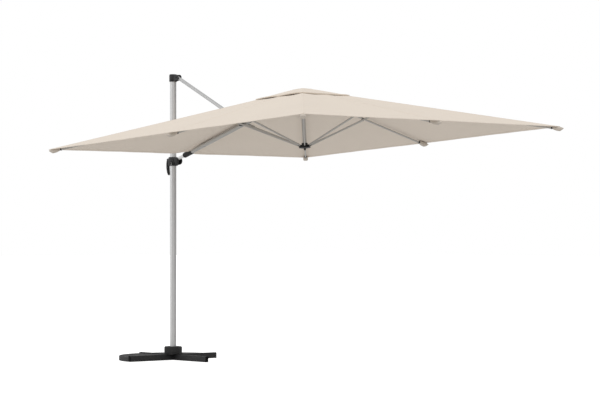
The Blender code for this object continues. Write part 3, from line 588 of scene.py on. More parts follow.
def strip_shape(point_at, azimuth, start, end, width, thickness, lift):
    """Sewn tape over a rib's line, laid on the cloth."""
    heading = math.radians(azimuth)
    radial = Vector((math.cos(heading), math.sin(heading), 0.0))
    across = Vector((-math.sin(heading), math.cos(heading), 0.0))

    def point(place, _, level):
        spot = radial * level + across * (place * width)
        largest = max(abs(spot.x), abs(spot.y))
        return point_at(spot.x / largest, spot.y / largest, largest)

    places = [(place, 0) for place in (-0.5, -0.25, 0, 0.25, 0.5)]
    return sheet_shape(point, places, spaced(start, end, 44), thickness, lift)


def slit_places():
    """Places across the rear panel, close together over the arm, with a column at each slit's sides."""
    edge = SLIT_SHARE / math.tan(math.radians(22.5))
    half = spaced(0.0, edge, 3) + [edge + (1.0 - edge) * (i / 14) ** 1.6 for i in range(1, 15)]
    return [-place for place in reversed(half[1:])] + half


def cut_slits(shape):
    """Cut the two slits for the lever's cheeks, by dropping the faces inside them."""
    doomed = []
    for face in shape.faces:
        middle = face.calc_center_median()
        if SLIT[0] < middle.x < SLIT[1] and SLIT_SHARE * 2 / 3 < abs(middle.y / middle.x) < SLIT_SHARE:
            doomed.append(face)
    bmesh.ops.delete(shape, geom=doomed, context="FACES")
    for sign in (-1, 1):
        rim = [edge for edge in shape.edges if edge.is_boundary and sign * edge.verts[0].co.y > 0]
        bmesh.ops.bridge_loops(shape, edges=rim)


def slit_binding():
    """Bound patch around the two slits."""
    shape = bmesh.new()
    path = []
    inner, outer = -SLIT[1], -SLIT[0]
    width = SLIT_SHARE + 0.002
    for level in spaced(inner - 0.004, outer + 0.004, 10):
        path.append((level, width))
    for across in spaced(width, -width, 6)[1:-1]:
        path.append((outer + 0.004, across))
    for level in spaced(outer + 0.004, inner - 0.004, 10):
        path.append((level, -width))
    for across in spaced(-width, width, 6)[1:-1]:
        path.append((inner - 0.004, across))
    rings = []
    middle = (inner + outer) / 2
    for level, across in path:
        spot = roof_point(-1.0, across, level)
        outward = Vector((level - middle, across * level * 3.0, 0.0))
        outward = Vector((-outward.x, outward.y, 0.0)).normalized()
        ring = []
        for a, b in rounded_rectangle(0.011, 0.0044, 0.0018, 2):
            ring.append(shape.verts.new(spot + outward * a + Vector((0.0, 0.0, b))))
        rings.append(ring)
    for ring, following in zip(rings, rings[1:] + rings[:1]):
        bridge(shape, ring, following)
    return shape


def flat_area(point_at, directions, levels):
    grid = [[point_at(x, y, level) for x, y in directions] for level in levels]
    total = 0.0
    for i in range(len(levels) - 1):
        for j in range(len(directions) - 1):
            a, b, c, d = grid[i][j], grid[i][j + 1], grid[i + 1][j + 1], grid[i + 1][j]
            total += ((b - a).cross(c - a).length + (c - a).cross(d - a).length) / 2
    return total


def body_of_panel(side):
    return "arm" if side == "rear" else "rib_" + side


def fold_up(piece):
    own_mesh(piece)


def spaced(start, end, steps):
    return [start + (end - start) * i / steps for i in range(steps + 1)]


def build_canopy():
    for side, azimuth in PANEL_AZIMUTHS.items():
        body = body_of_panel(side)
        directions = rim_directions(azimuth, slit_places() if side == "rear" else spaced(-1.0, 1.0, 32))
        if side == "rear":
            levels = spaced(VENT_HOLE, -SLIT[1], 14)[:-1] + spaced(-SLIT[1], -SLIT[0], 8)[:-1] \
                + spaced(-SLIT[0], CANOPY_HALF, 18)
        else:
            levels = spaced(VENT_HOLE, CANOPY_HALF, 36)
        shape = sheet_shape(roof_point, directions, levels, CLOTH)
        if side == "rear":
            cut_slits(shape)
        panel = finish_piece("canopy_panel_" + side, shape, CANOPY_FRAME, CLOTH_MATERIAL, body,
                             ["canopy_" + side])
        hem = finish_piece(
            "canopy_hem_" + side,
            sheet_shape(roof_point, directions, [CANOPY_HALF - HEM_WIDTH, CANOPY_HALF - HEM_WIDTH / 2,
                                                 CANOPY_HALF + 0.0006], 0.0036, sewing=True),
            CANOPY_FRAME, SEWN_MATERIAL, body)
        start = VENT_HOLE * (1.0 if azimuth % 90 == 0 else math.sqrt(2))
        end = (CANOPY_HALF - 0.002) * (1.0 if azimuth % 90 == 0 else math.sqrt(2))
        if side == "rear":
            start = -SLIT[0] + 0.02
        seam = finish_piece(
            "canopy_seam_" + side,
            strip_shape(roof_point, azimuth, start, end, SEAM_WIDTH, 0.0009, CLOTH / 2 + 0.0004),
            CANOPY_FRAME, CLOTH_MATERIAL, body)
        sewn = [hem, seam]
        if side == "rear":
            sewn.append(finish_piece("canopy_slit_binding", slit_binding(), CANOPY_FRAME, SEWN_MATERIAL, body))
        for piece in [panel] + sewn:
            fold_up(piece)
        area = flat_area(roof_point, directions, levels)


def build_vent():
    hub_start = 0.050
    for side, azimuth in PANEL_AZIMUTHS.items():
        body = body_of_panel(side)
        directions = rim_directions(azimuth, spaced(-1.0, 1.0, 12))
        levels = spaced(hub_start, VENT_HALF, 12)
        panel = finish_piece("vent_panel_" + side, sheet_shape(vent_point, directions, levels, CLOTH),
                             CANOPY_FRAME, CLOTH_MATERIAL, body)
        hem = finish_piece(
            "vent_hem_" + side,
            sheet_shape(vent_point, directions, [VENT_HALF - 0.020, VENT_HALF - 0.010,
                                                 VENT_HALF + 0.0006], 0.0085, 0.0010, sewing=True),
            CANOPY_FRAME, SEWN_MATERIAL, body)
        for piece in (panel, hem):
            fold_up(piece)
        flat_area(vent_point, directions, levels)
    rim = [direction for azimuth in (0.0, 45.0, 90.0, 135.0, 180.0, -135.0, -90.0, -45.0)
           for direction in rim_directions(azimuth, spaced(-1.0, 1.0, 4))[:-1]]
    crown = bmesh.new()
    peak = vent_point(1.0, 0.0, 0.0)
    rings = []
    for offset in (-CLOTH / 2, CLOTH / 2):
        centre = crown.verts.new(peak + Vector((0.0, 0.0, offset + 0.0008)))
        inner = [crown.verts.new(vent_point(x, y, 0.030) + Vector((0.0, 0.0, offset + 0.0006)))
                 for x, y in rim]
        outer = [crown.verts.new(vent_point(x, y, 0.058) + Vector((0.0, 0.0, offset + 0.0013)))
                 for x, y in rim]
        bridge(crown, [centre], inner)
        bridge(crown, inner, outer)
        rings.append(outer)
    bridge(crown, rings[0], rings[1])
    piece = finish_piece("vent_crown", crown, CANOPY_FRAME, CLOTH_MATERIAL, "hub",
                         ["vent_cap"])


# ---- ribs, struts and pockets -------------------------------------------------------------------
def build_rib(side):
    place, joint = rib_frame(side)
    corner = side in CORNER_AZIMUTHS
    reach, drop, run = CORNER_RIB if corner else SIDE_RIB
    end = (reach - HUB_CIRCLE) / math.cos(math.atan2(drop, run))
    body = "rib_" + side
    width, depth = RIB_SIZE
    shape = bmesh.new()
    add_prism(shape, rounded_rectangle(width, depth, 0.0038), 0.012, end - 0.004, place, "X")
    finish_piece("rib_tube_" + side, shape, Matrix.Identity(4), TUBE_METAL, body,
                 ["rib_" + side], bevel=0.0004)
    fittings = bmesh.new()
    add_prism(fittings, arc((0.0, 0.0), 0.0072, 90, 270, 10) + [(0.040, -0.0072), (0.040, 0.0072)],
              -width / 2 + 0.0004, width / 2 - 0.0004, place)
    for sign in (-1, 1):
        low, high = sorted((sign * (STRUT_SIZE[0] / 2 + 0.0006), sign * (width / 2 + 0.0016)))
        outline = arc((joint, -STRUT_DROP), 0.0065, 180, 360, 12) + [(joint + 0.015, 0.004),
                                                                    (joint - 0.015, 0.004)]
        add_prism(fittings, outline, low, high, place)
        stand = facing(place @ move(joint, sign * (width / 2 + 0.0016), -STRUT_DROP), sign)
        add_screw(fittings, stand, 0.0042, 0.0020)
    finish_piece("rib_fittings_" + side, fittings, Matrix.Identity(4), BLACK, body,
                 bevel=0.0004)
    build_pocket(side, place, end, body)


def build_pocket(side, place, end, body):
    """Sewn pouch over the rib's end: narrow at its collar, then flared and pinched flat at its tip."""
    corner = side in CORNER_AZIMUTHS
    length = 0.092 if corner else 0.100
    tip = end + (0.034 + 0.020 * math.cos(math.radians(RIB_AZIMUTHS[side])) if corner else 0.020)
    start = tip - length
    shape = bmesh.new()
    rings = []
    stations = 18
    for i in range(stations + 1):
        t = i / stations
        flare = math.sin(math.pi / 2 * min(1.0, t / 0.62))
        pinch = max(0.0, t - 0.74) / 0.26
        wide = 0.024 + 0.020 * flare - 0.005 * pinch
        tall = 0.0195 + 0.0155 * flare - 0.0290 * pinch
        crumple = 0.0007 * math.sin(9.0 * t + 2.0) + 0.0090 * pinch - 0.0030 * flare
        rings.append([shape.verts.new(place @ Vector((start + length * t, a, b + crumple + 0.0040)))
                      for a, b in rounded_rectangle(wide, tall, tall * 0.38, 4)])
    for ring, following in zip(rings, rings[1:]):
        bridge(shape, ring, following)
    shape.faces.new(rings[0])
    shape.faces.new(rings[-1])
    # The pouch and its seam take the canvas with painted shade, darker than the canopy's cloth.
    pocket = finish_piece("pocket_" + side, shape, Matrix.Identity(4), SHADED_POCKET_CANVAS, body,
                          angle=60.0)
    seam = bmesh.new()
    add_prism(seam, rounded_rectangle(0.0335, 0.0275, 0.009), start + 0.020, start + 0.0212,
              place @ move(0.0, 0.0, 0.0040), "X")
    finish_piece("pocket_seam_" + side, seam, Matrix.Identity(4), SHADED_POCKET_CANVAS, body, bevel=0.0004)
    collar = bmesh.new()
    add_prism(collar, rounded_rectangle(0.0230, 0.0190, 0.006), start - 0.004, start + 0.004,
              place @ move(0.0, 0.0, 0.0030), "X")
    add_prism(collar, rounded_rectangle(0.0165, 0.0190, 0.005), start - 0.011, start - 0.003, place, "X")
    finish_piece("pocket_collar_" + side, collar, Matrix.Identity(4), BLACK, body,
                 bevel=0.0008)


def build_strut(side):
    azimuth = RIB_AZIMUTHS[side]
    start = PIVOTS[f"strut_{side}_fold"]
    spoke = RUNNER_FRAME @ turn(math.radians(azimuth), "Z")
    end = spoke @ Vector((HUB_CIRCLE, 0.0, 0.0))
    local = spoke.inverted()
    a, b = local @ start, local @ end
    slope = math.atan2(-(b.z - a.z), b.x - a.x)
    place = Matrix.Translation(start) @ spoke.to_3x3().to_4x4() @ turn(slope, "Y")
    length = (end - start).length
    width, depth = STRUT_SIZE
    shape = bmesh.new()
    add_prism(shape, rounded_rectangle(width, depth, 0.0034), 0.006, length - 0.010, place, "X")
    finish_piece("strut_tube_" + side, shape, Matrix.Identity(4), TUBE_METAL, "strut_" + side,
                 ["strut_" + side], bevel=0.0004)
    ends = bmesh.new()
    add_prism(ends, arc((0.0, 0.0), 0.0058, 90, 270, 10) + [(0.022, -0.0052), (0.022, 0.0052)],
              -width / 2 + 0.0005, width / 2 - 0.0005, place)
    add_prism(ends, [(length - 0.030, -0.0050), (length, -0.0050)]
              + arc((length, 0.0), 0.0050, -80, 80, 8) + [(length, 0.0050), (length - 0.030, 0.0050)],
              -0.0032, 0.0032, place)
    finish_piece("strut_ends_" + side, ends, Matrix.Identity(4), BLACK, "strut_" + side,
                 bevel=0.0004)


# ---- hubs ---------------------------------------------------------------------------------------
def build_hubs():
    pole = bmesh.new()
    low = HUB_FRAME.inverted() @ (RUNNER_FRAME @ Vector((0.0, 0.0, -0.004)))
    add_turned(pole, [(0.0165, low.z), (0.0165, -0.0135), (0.0140, -0.0135), (0.0140, low.z)], HUB_FRAME)
    finish_piece("pole_tube", pole, Matrix.Identity(4), TUBE_METAL, "hub",
                 ["centre_pole"])
    dress(frame["nodes"]["top_hub"], BLACK, 0.0008)

    hub = bmesh.new()
    add_turned(hub, [
        (0.0208, 0.022), (0.0245, 0.022), (0.0258, 0.0200), (0.0258, 0.0060), (0.0365, 0.0030),
        (0.0375, -0.0080), (0.0470, -0.0095), (0.0492, -0.0115), (0.0492, -0.0165), (0.0465, -0.0195),
        (0.0250, -0.0225), (0.0190, -0.0225), (0.0190, -0.0150), (0.0208, -0.0140),
    ], RUNNER_FRAME)
    for azimuth in RIB_AZIMUTHS.values():
        spoke = RUNNER_FRAME @ turn(math.radians(azimuth), "Z")
        for sign in (-1, 1):
            low_y, high_y = sorted((sign * 0.0042, sign * 0.0072))
            add_prism(hub, [(0.034, -0.0055), (0.0500, -0.0045)] + arc((0.0480, 0.0), 0.0060, -50, 60, 6)
                      + [(0.034, 0.0060)], low_y, high_y, spoke)
    rear = RUNNER_FRAME @ turn(math.pi, "Z")
    for sign in (-1, 1):
        low_y, high_y = sorted((sign * 0.0100, sign * 0.0148))
        add_prism(hub, capsule((0.030, 0.0), (HUB_CIRCLE, 0.0), 0.0070), low_y, high_y, rear)
    finish_piece("runner_hub", hub, Matrix.Identity(4), BLACK, "runner", ["lower_hub"],
                 bevel=0.0005)
    pull = bmesh.new()
    add_turned(pull, [(0.0, -0.0160), (0.0175, -0.0160), (0.0175, -0.0215), (0.0080, -0.0245)]
               + arc((0.0, -0.0310), 0.0088, 52, -78, 12) + [(0.0, -0.0398)], RUNNER_FRAME)
    finish_piece("runner_pull", pull, Matrix.Identity(4), BLACK_RUBBED, "runner")
    rivets = bmesh.new()
    for sign in (-1, 1):
        stand = facing(rear @ move(HUB_CIRCLE, sign * 0.0148, 0.0), sign)
        add_screw(rivets, stand, 0.0050, 0.0022)
    finish_piece("link_rivets", rivets, Matrix.Identity(4), ZINC, "runner", ["link_pin"])


# ---- arm, knob and lever ------------------------------------------------------------------------
def build_arm():
    inner = bmesh.new()
    add_turned(inner, [(0.0140, -0.012), (0.0140, SLEEVE[1] - 0.004), (0.0112, SLEEVE[1] - 0.004),
                       (0.0112, -0.012)], ARM_FRAME, "X")
    finish_piece("inner_tube", inner, Matrix.Identity(4), WHITE_TUBE, "arm",
                 ["arm_inner_tube"], bevel=0.0006)
    tube_end = (PIVOTS["hub_tilt"] - ARM_PIVOT).length - 0.060
    tube = bmesh.new()
    add_turned(tube, [(ARM_RADIUS, SLEEVE[0] + 0.023), (ARM_RADIUS, tube_end),
                      (ARM_RADIUS - 0.0035, tube_end), (ARM_RADIUS - 0.0035, SLEEVE[0] + 0.023)],
               ARM_FRAME, "X", 64, groove_of(4, 0.0, 0.030, 0.055))
    finish_piece("main_tube", tube, Matrix.Identity(4), TUBE_METAL, "arm",
                 ["arm_tube"])
    sleeve = bmesh.new()
    start, end = SLEEVE
    profile = [(0.0146, start), (0.0195, start), (0.0215, start + 0.003)]
    ridges = 6
    step = (end - start - 0.012) / ridges
    for i in range(ridges):
        x = start + 0.006 + step * i
        profile += [(0.0226, x), (0.0238, x + step * 0.25), (0.0238, x + step * 0.65),
                    (0.0226, x + step * 0.9)]
    profile += [(0.0236, end - 0.003), (0.0215, end), (0.0194, end), (0.0194, start + 0.02),
                (0.0146, start + 0.02)]
    add_turned(sleeve, profile, ARM_FRAME, "X", 48, lambda angle: 1.0 + 0.010 * math.cos(16 * angle))
    finish_piece("grip_sleeve", sleeve, Matrix.Identity(4), BLACK_RUBBED, "arm",
                 ["arm_sleeve"])
    dress(frame["nodes"]["arm_head"], BLACK, 0.0006)
    dress(frame["nodes"]["pivot_bolt"], ZINC, 0.0006)


def groove_of(count, phase, depth, half_width):
    """Radius factor of a tube with shallow grooves along it."""
    def factor(angle):
        step = 2 * math.pi / count
        away = abs((angle - phase + step / 2) % step - step / 2)
        return 1.0 - depth if away < half_width else 1.0
    return factor


def build_knob():
    knob = bmesh.new()
    place = Matrix.Translation(KNOB_PIVOT)
    grip = ([(0.0, -0.0330), (0.0165, -0.0330)]
            + [(r, -0.0480 + 0.0150 * t) for r, t in ((0.0200, 0.93), (0.0212, 0.78), (0.0214, 0.35),
                                                      (0.0200, 0.12), (0.0170, 0.0))]
            + [(0.0120, -0.0486), (0.0, -0.0492)])
    add_turned(knob, grip, place, "Y", 80, lambda angle: 1.0 + 0.150 * math.cos(5 * angle))
    add_turned(knob, [(0.0, -0.0264), (0.0118, -0.0264), (0.0128, -0.0335), (0.0, -0.0335)], place, "Y")
    finish_piece("star_grip", knob, Matrix.Identity(4), BLACK, "star_knob", ["star_knob"])
    cover = bmesh.new()
    add_turned(cover, [(0.0, -0.0485), (0.0082, -0.0485), (0.0078, -0.0508), (0.0050, -0.0518),
                       (0.0, -0.0520)], place, "Y", 32)
    finish_piece("star_cover", cover, Matrix.Identity(4), BLACK_RUBBED, "star_knob")


def build_lever():
    rod_length = (KNOB_PIVOT - ROD_PIVOT).length - ROD_START
    link_length = (PIVOTS["runner_tilt"] - KNOB_PIVOT).length
    rod = bmesh.new()
    add_prism(rod, grooved_section(0.024, 0.025), 0.004, rod_length - BLOCK_LENGTH + 0.002, ROD_FRAME, "X")
    finish_piece("rod_bar", rod, Matrix.Identity(4), ROD_METAL, "lever",
                 ["upper_rod"], bevel=0.0005)
    link = bmesh.new()
    add_prism(link, grooved_section(0.017, 0.017), LINK_START + BLOCK_LENGTH - 0.004,
              link_length - 0.010, LINK_FRAME, "X")
    finish_piece("link_bar", link, Matrix.Identity(4), TUBE_METAL, "lever",
                 ["link_strut"], bevel=0.0005)
    ends = bmesh.new()
    add_prism(ends, capsule((0.0, 0.0), (0.030, 0.0), 0.0115), -0.0105, 0.0105, ROD_FRAME)
    add_prism(ends, rounded_rectangle(0.0402, 0.0215, 0.004), rod_length - BLOCK_LENGTH, rod_length,
              ROD_FRAME, "X")
    add_prism(ends, capsule((link_length - 0.030, 0.0), (link_length, 0.0), 0.0062), -0.0078, 0.0078,
              LINK_FRAME)
    finish_piece("lever_ends", ends, Matrix.Identity(4), BLACK, "lever", bevel=0.0010)
    block = bmesh.new()
    add_prism(block, rounded_rectangle(0.0402, 0.0170, 0.004), LINK_START, LINK_START + BLOCK_LENGTH,
              LINK_FRAME, "X")
    finish_piece("link_block", block, Matrix.Identity(4), TUBE_METAL, "lever",
                 bevel=0.0010)
    screws = bmesh.new()
    for name, sign in (("lever_cheek_right", -1), ("lever_cheek_left", 1)):
        dress(frame["nodes"][name], TUBE_METAL, 0.0008)
        face = sign * 0.0254
        for place, reach in ((ROD_FRAME, rod_length - 0.012), (ROD_FRAME, rod_length - 0.027),
                             (LINK_FRAME, LINK_START + 0.010), (LINK_FRAME, LINK_START + 0.020)):
            stand = facing(place @ move(reach, face, 0.0), sign)
            add_screw(screws, stand, 0.0042, 0.0022)
    finish_piece("lever_screws", screws, Matrix.Identity(4), ZINC, "lever")


def grooved_section(width, depth):
    """Rounded rectangle with a flat channel down both wide sides."""
    a, b, radius, channel, sunk = width / 2, depth / 2, 0.0040, depth * 0.16, 0.0011
    points = arc((a - radius, b - radius), radius, 0, 90, 5)
    points += arc((radius - a, b - radius), radius, 90, 180, 5)
    points += [(-a, channel), (sunk - a, channel), (sunk - a, -channel), (-a, -channel)]
    points += arc((radius - a, radius - b), radius, 180, 270, 5)
    points += arc((a - radius, radius - b), radius, 270, 360, 5)
    points += [(a, -channel), (a - sunk, -channel), (a - sunk, channel), (a, channel)]
    return points


# ---- mast, slider -------------------------------------------------------------------------------
def build_mast():
    low, high = 0.0615, MAST_TOP - 0.010
    tube = bmesh.new()
    inner = 0.0243
    add_turned(tube, [(MAST_RADIUS, low), (MAST_RADIUS, high), (inner, high), (inner, low)],
               sides=120, flute=groove_of(4, math.radians(30), 0.075, 0.085))
    finish_piece("mast_profile", tube, Matrix.Identity(4), MAST_METAL, "mast",
                 ["mast_tube"])
    cap = bmesh.new()
    skirt = MAST_TOP - 0.066
    add_turned(cap, [(0.0335, skirt), (0.0345, skirt + 0.0015), (0.0345, MAST_TOP - 0.010),
                     (0.0330, MAST_TOP - 0.0045), (0.0290, MAST_TOP - 0.0012), (0.0200, MAST_TOP),
                     (0.0, MAST_TOP), (0.0, MAST_TOP - 0.0095), (0.0278, MAST_TOP - 0.0095),
                     (0.0278, skirt)], sides=64)
    for level in (skirt + 0.008, skirt + 0.012):
        add_turned(cap, [(0.0343, level), (0.0353, level + 0.0006), (0.0353, level + 0.0016),
                         (0.0343, level + 0.0022)], sides=64)
    finish_piece("cap_body", cap, Matrix.Identity(4), BLACK, "mast", ["mast_cap"])
    ears = bmesh.new()
    for sign in (-1, 1):
        low_y, high_y = sorted((sign * 0.0155, sign * 0.0212))
        outline = ([(0.0250, ROD_PIVOT.z - 0.030), (0.0330, ROD_PIVOT.z - 0.030)]
                   + arc((ROD_PIVOT.x + 0.001, ROD_PIVOT.z), 0.0255, -78, 90, 18)
                   + [(0.0250, ROD_PIVOT.z + 0.0255)])
        add_prism(ears, outline, low_y, high_y)
    finish_piece("cap_ears", ears, Matrix.Identity(4), BLACK, "mast", bevel=0.0012)
    screws = bmesh.new()
    for sign in (-1, 1):
        stand = facing(Matrix.Translation(ROD_PIVOT) @ move(0.0, sign * 0.0212, 0.0), sign)
        add_screw(screws, stand, 0.0085, 0.0036)
    finish_piece("rod_screws", screws, Matrix.Identity(4), BLACK, "mast")


def build_housing():
    shell = bmesh.new()
    radius, low, high = 0.0785, 0.0572, 0.1205
    add_turned(shell, [(radius - 0.0012, low), (radius, low + 0.0012), (radius, low + 0.010),
                       (radius - 0.0012, low + 0.0112), (radius - 0.0012, low + 0.0126),
                       (radius, low + 0.0140), (radius, high - 0.013)]
               + arc((radius - 0.011, high - 0.011), 0.011, 8, 84, 9)
               + [(0.046, high), (0.0440, high - 0.0008), (0.0400, high - 0.0008), (0.0380, high),
                  (MAST_RADIUS + 0.0003, high), (MAST_RADIUS + 0.0003, high - 0.030),
                  (MAST_RADIUS + 0.004, high - 0.030), (MAST_RADIUS + 0.004, high - 0.005),
                  (radius - 0.005, high - 0.005), (radius - 0.005, low)], sides=96)
    finish_piece("housing_shell", shell, Matrix.Identity(4), BLACK_RUBBED, "mast",
                 ["swivel_housing"])
    screws = bmesh.new()
    for index in range(4):
        angle = math.radians(45 + 90 * index)
        stand = turn(angle, "Z") @ move(0.058, 0.0, high)
        add_screw(screws, stand, 0.0048, 0.0022, "Z")
    finish_piece("housing_screws", screws, Matrix.Identity(4), ZINC, "mast")
    dress(frame["nodes"]["swivel_bush"], BUSH, 0.0)


def build_slider():
    centre = ARM_PIVOT.z - 0.024
    low, high = centre - 0.037, centre + 0.040
    bore = MAST_RADIUS + 0.0032
    collar = bmesh.new()
    add_turned(collar, [(bore, low), (0.0372, low), (0.0395, low + 0.0025), (0.0425, low + 0.008),
                        (0.0425, low + 0.030), (0.0412, low + 0.0315), (0.0412, low + 0.0345),
                        (0.0425, low + 0.036), (0.0425, high - 0.009), (0.0400, high - 0.0030),
                        (0.0375, high), (bore, high)], sides=64)
    finish_piece("collar_shell", collar, Matrix.Identity(4), BLACK, "slider",
                 ["slider_collar"])
    fittings = bmesh.new()
    for sign in (-1, 1):
        low_y, high_y = sorted((sign * 0.0165, sign * 0.0245))
        boss = ARM_PIVOT.z - 0.020
        outline = ([(0.0300, centre - 0.031)] + arc((ARM_PIVOT.x, boss), 0.0305, -82, 102, 24)
                   + [(0.0300, boss + 0.027)])
        add_prism(fittings, outline, low_y, high_y)
        low_y, high_y = sorted((sign * 0.0135, sign * 0.0185))
        add_prism(fittings, capsule((-0.0385, LEVER_PIVOT.z), (LEVER_PIVOT.x, LEVER_PIVOT.z), 0.0095),
                  low_y, high_y)
    finish_piece("collar_cheeks", fittings, Matrix.Identity(4), BLACK, "slider",
                 bevel=0.0014)
    domes = bmesh.new()
    for sign in (-1, 1):
        stand = facing(Matrix.Translation(ARM_PIVOT) @ move(0.0, sign * 0.0245, -0.020), sign)
        add_turned(domes, [(0.0, 0.0), (0.0262, 0.0), (0.0262, 0.0022), (0.0235, 0.0050), (0.0180, 0.0068),
                           (0.0090, 0.0080), (0.0, 0.0084)], stand, "Y", 48)
    finish_piece("pivot_domes", domes, Matrix.Identity(4), BLACK_RUBBED, "slider")
    dress(frame["nodes"]["slider_liner"], BUSH, 0.0)
    dress(frame["nodes"]["arm_pivot_pin"], ZINC, 0.0)
    build_lock_screw()


def build_lock_screw():
    """Knurled black knob with a bright ring set in its face."""
    joint = next(item for item in frame["joints"] if item["name"] == "lock_screw_turn")
    outward = Vector(joint["axis"])
    facing_out = outward.to_track_quat("Y", "Z").to_matrix().to_4x4()
    place = Matrix.Translation(PIVOTS["lock_screw_turn"]) @ facing_out
    knob = bmesh.new()
    add_turned(knob, [(0.0, 0.0), (0.0135, 0.0), (0.0155, 0.0022), (0.0155, 0.0092), (0.0140, 0.0112),
                      (0.0120, 0.0112), (0.0112, 0.0090), (0.0, 0.0086)], place, "Y", 72,
               lambda angle: 1.0 + 0.018 * math.cos(24 * angle))
    finish_piece("lock_knob", knob, Matrix.Identity(4), BLACK, "lock_screw", ["lock_screw"])
    ring = bmesh.new()
    add_turned(ring, [(0.0088, 0.0088), (0.0108, 0.0088), (0.0108, 0.0106), (0.0101, 0.0114),
                      (0.0093, 0.0112), (0.0088, 0.0104)], place, "Y", 48)
    finish_piece("lock_ring", ring, Matrix.Identity(4), ZINC, "lock_screw")


def build_grip():
    """Curved release grip: a swept, rounded bar that tapers towards its tip."""
    path = [(-0.0020, 0.0060), (-0.0075, -0.0080), (-0.0115, -0.0250), (-0.0130, -0.0450),
            (-0.0125, -0.0700), (-0.0098, -0.0950), (-0.0045, -0.1180), (0.0020, -0.1390)]
    sizes = [(0.026, 0.017), (0.031, 0.021), (0.032, 0.023), (0.032, 0.023), (0.031, 0.0225),
             (0.030, 0.0210), (0.027, 0.0180), (0.018, 0.0100)]
    shape = bmesh.new()
    rings = []
    for index, ((x, z), (wide, thick)) in enumerate(zip(path, sizes)):
        before = path[max(index - 1, 0)]
        after = path[min(index + 1, len(path) - 1)]
        direction = Vector((after[0] - before[0], 0.0, after[1] - before[1])).normalized()
        side = Vector((0.0, 1.0, 0.0))
        out = direction.cross(side)
        centre = LEVER_PIVOT + Vector((x, 0.0, z))
        rings.append([shape.verts.new(centre + side * a + out * b)
                      for a, b in rounded_rectangle(wide, thick, thick * 0.42, 4)])
    for ring, following in zip(rings, rings[1:]):
        bridge(shape, ring, following)
    shape.faces.new(rings[0])
    shape.faces.new(rings[-1])
    grip = finish_piece("grip_bar", shape, Matrix.Identity(4), BLACK_RUBBED, "release_lever",
                        ["release_lever"], angle=60.0)
    smooth = grip.modifiers.new("smooth", "SUBSURF")
    smooth.levels = smooth.render_levels = 1
    barrel = bmesh.new()
    add_turned(barrel, rounded_profile(0.0080, -0.0128, 0.0128, 0.0015),
               Matrix.Translation(LEVER_PIVOT), "Y", 32)
    finish_piece("grip_barrel", barrel, Matrix.Identity(4), BLACK, "release_lever")


# ---- base ---------------------------------------------------------------------------------------
def build_base():
    quarter = math.radians(90)
    inner = BAR_WIDTH / 2 + 0.0003
    tube_end = BAR_REACH - 0.004
    bars = {
        "cross_bar_long": (quarter, -tube_end, tube_end),
        "cross_bar_front": (0.0, inner, tube_end),
        "cross_bar_rear": (2 * quarter, inner, tube_end),
    }
    for name, (heading, start, end) in bars.items():
        shape = bmesh.new()
        place = BASE_FRAME @ turn(heading, "Z") @ move(0.0, 0.0, BAR_HEIGHT / 2)
        add_prism(shape, rounded_rectangle(BAR_WIDTH, BAR_HEIGHT, 0.0030, 4), start, end, place, "X")
        finish_piece(name.replace("cross_bar", "base_bar"), shape, Matrix.Identity(4), COAT, "base",
                     [name], bevel=0.0004)
    for index, side in enumerate(("front", "left", "rear", "right")):
        place = BASE_FRAME @ turn(index * quarter, "Z") @ move(0.0, 0.0, BAR_HEIGHT / 2)
        shape = bmesh.new()
        outline = rounded_rectangle(BAR_WIDTH + 0.0006, BAR_HEIGHT, 0.0036, 4)
        add_prism(shape, outline, tube_end + 0.0003, BAR_REACH, place, "X")
        add_prism(shape, rounded_rectangle(0.016, 0.034, 0.003, 4), BAR_REACH - 0.001, BAR_REACH + 0.0008,
                  place, "X")
        finish_piece("bar_plug_" + side, shape, Matrix.Identity(4), PLUG, "base",
                     ["bar_cap_" + side], bevel=0.0006)
    for side, turns in (("left", 1), ("right", 2)):
        build_slab(side, BASE_FRAME @ turn(turns * quarter, "Z"))
    dress(frame["nodes"]["mounting_plate"], COAT, 0.0008)
    dress(frame["nodes"]["swivel_spigot"], ZINC, 0.0)


def build_slab(side, place):
    """Quarter of a disc with rounded edges and a shallow top tray."""
    near = BAR_WIDTH / 2 + 0.002
    reach = math.degrees(math.asin(near / SLAB_RADIUS))
    shape = bmesh.new()
    rings = []
    layers = [(0.0, 0.0035), (0.0012, 0.0012), (0.0035, 0.0), (SLAB_HEIGHT - 0.005, 0.0),
              (SLAB_HEIGHT - 0.0018, 0.0014), (SLAB_HEIGHT, 0.0050), (SLAB_HEIGHT, 0.0220),
              (SLAB_HEIGHT - 0.0022, 0.0250)]
    for level, inset in layers:
        corner = near + inset
        radius = SLAB_RADIUS - inset
        lean = math.degrees(math.asin(corner / radius))
        outline = [(corner, corner)] + arc((0.0, 0.0), radius, lean, 90 - lean, 48)
        rings.append([shape.verts.new(place @ Vector((x, y, level))) for x, y in outline])
    for ring, following in zip(rings, rings[1:]):
        bridge(shape, ring, following)
    shape.faces.new(rings[0])
    shape.faces.new(rings[-1])
    finish_piece("slab_" + side, shape, Matrix.Identity(4), BALLAST, "base",
                 ["ballast_slab_" + side], angle=50.0)


def dress(piece, material, bevel):
    """Give a CAD solid that is shown as it is its finish and softened edges."""
    piece.data.materials.clear()
    piece.data.materials.append(material)
    if bevel:
        rounding = piece.modifiers.new("softened edges", "BEVEL")
        rounding.width = bevel
        rounding.segments = 2
        rounding.limit_method = "ANGLE"
        rounding.angle_limit = math.radians(45)


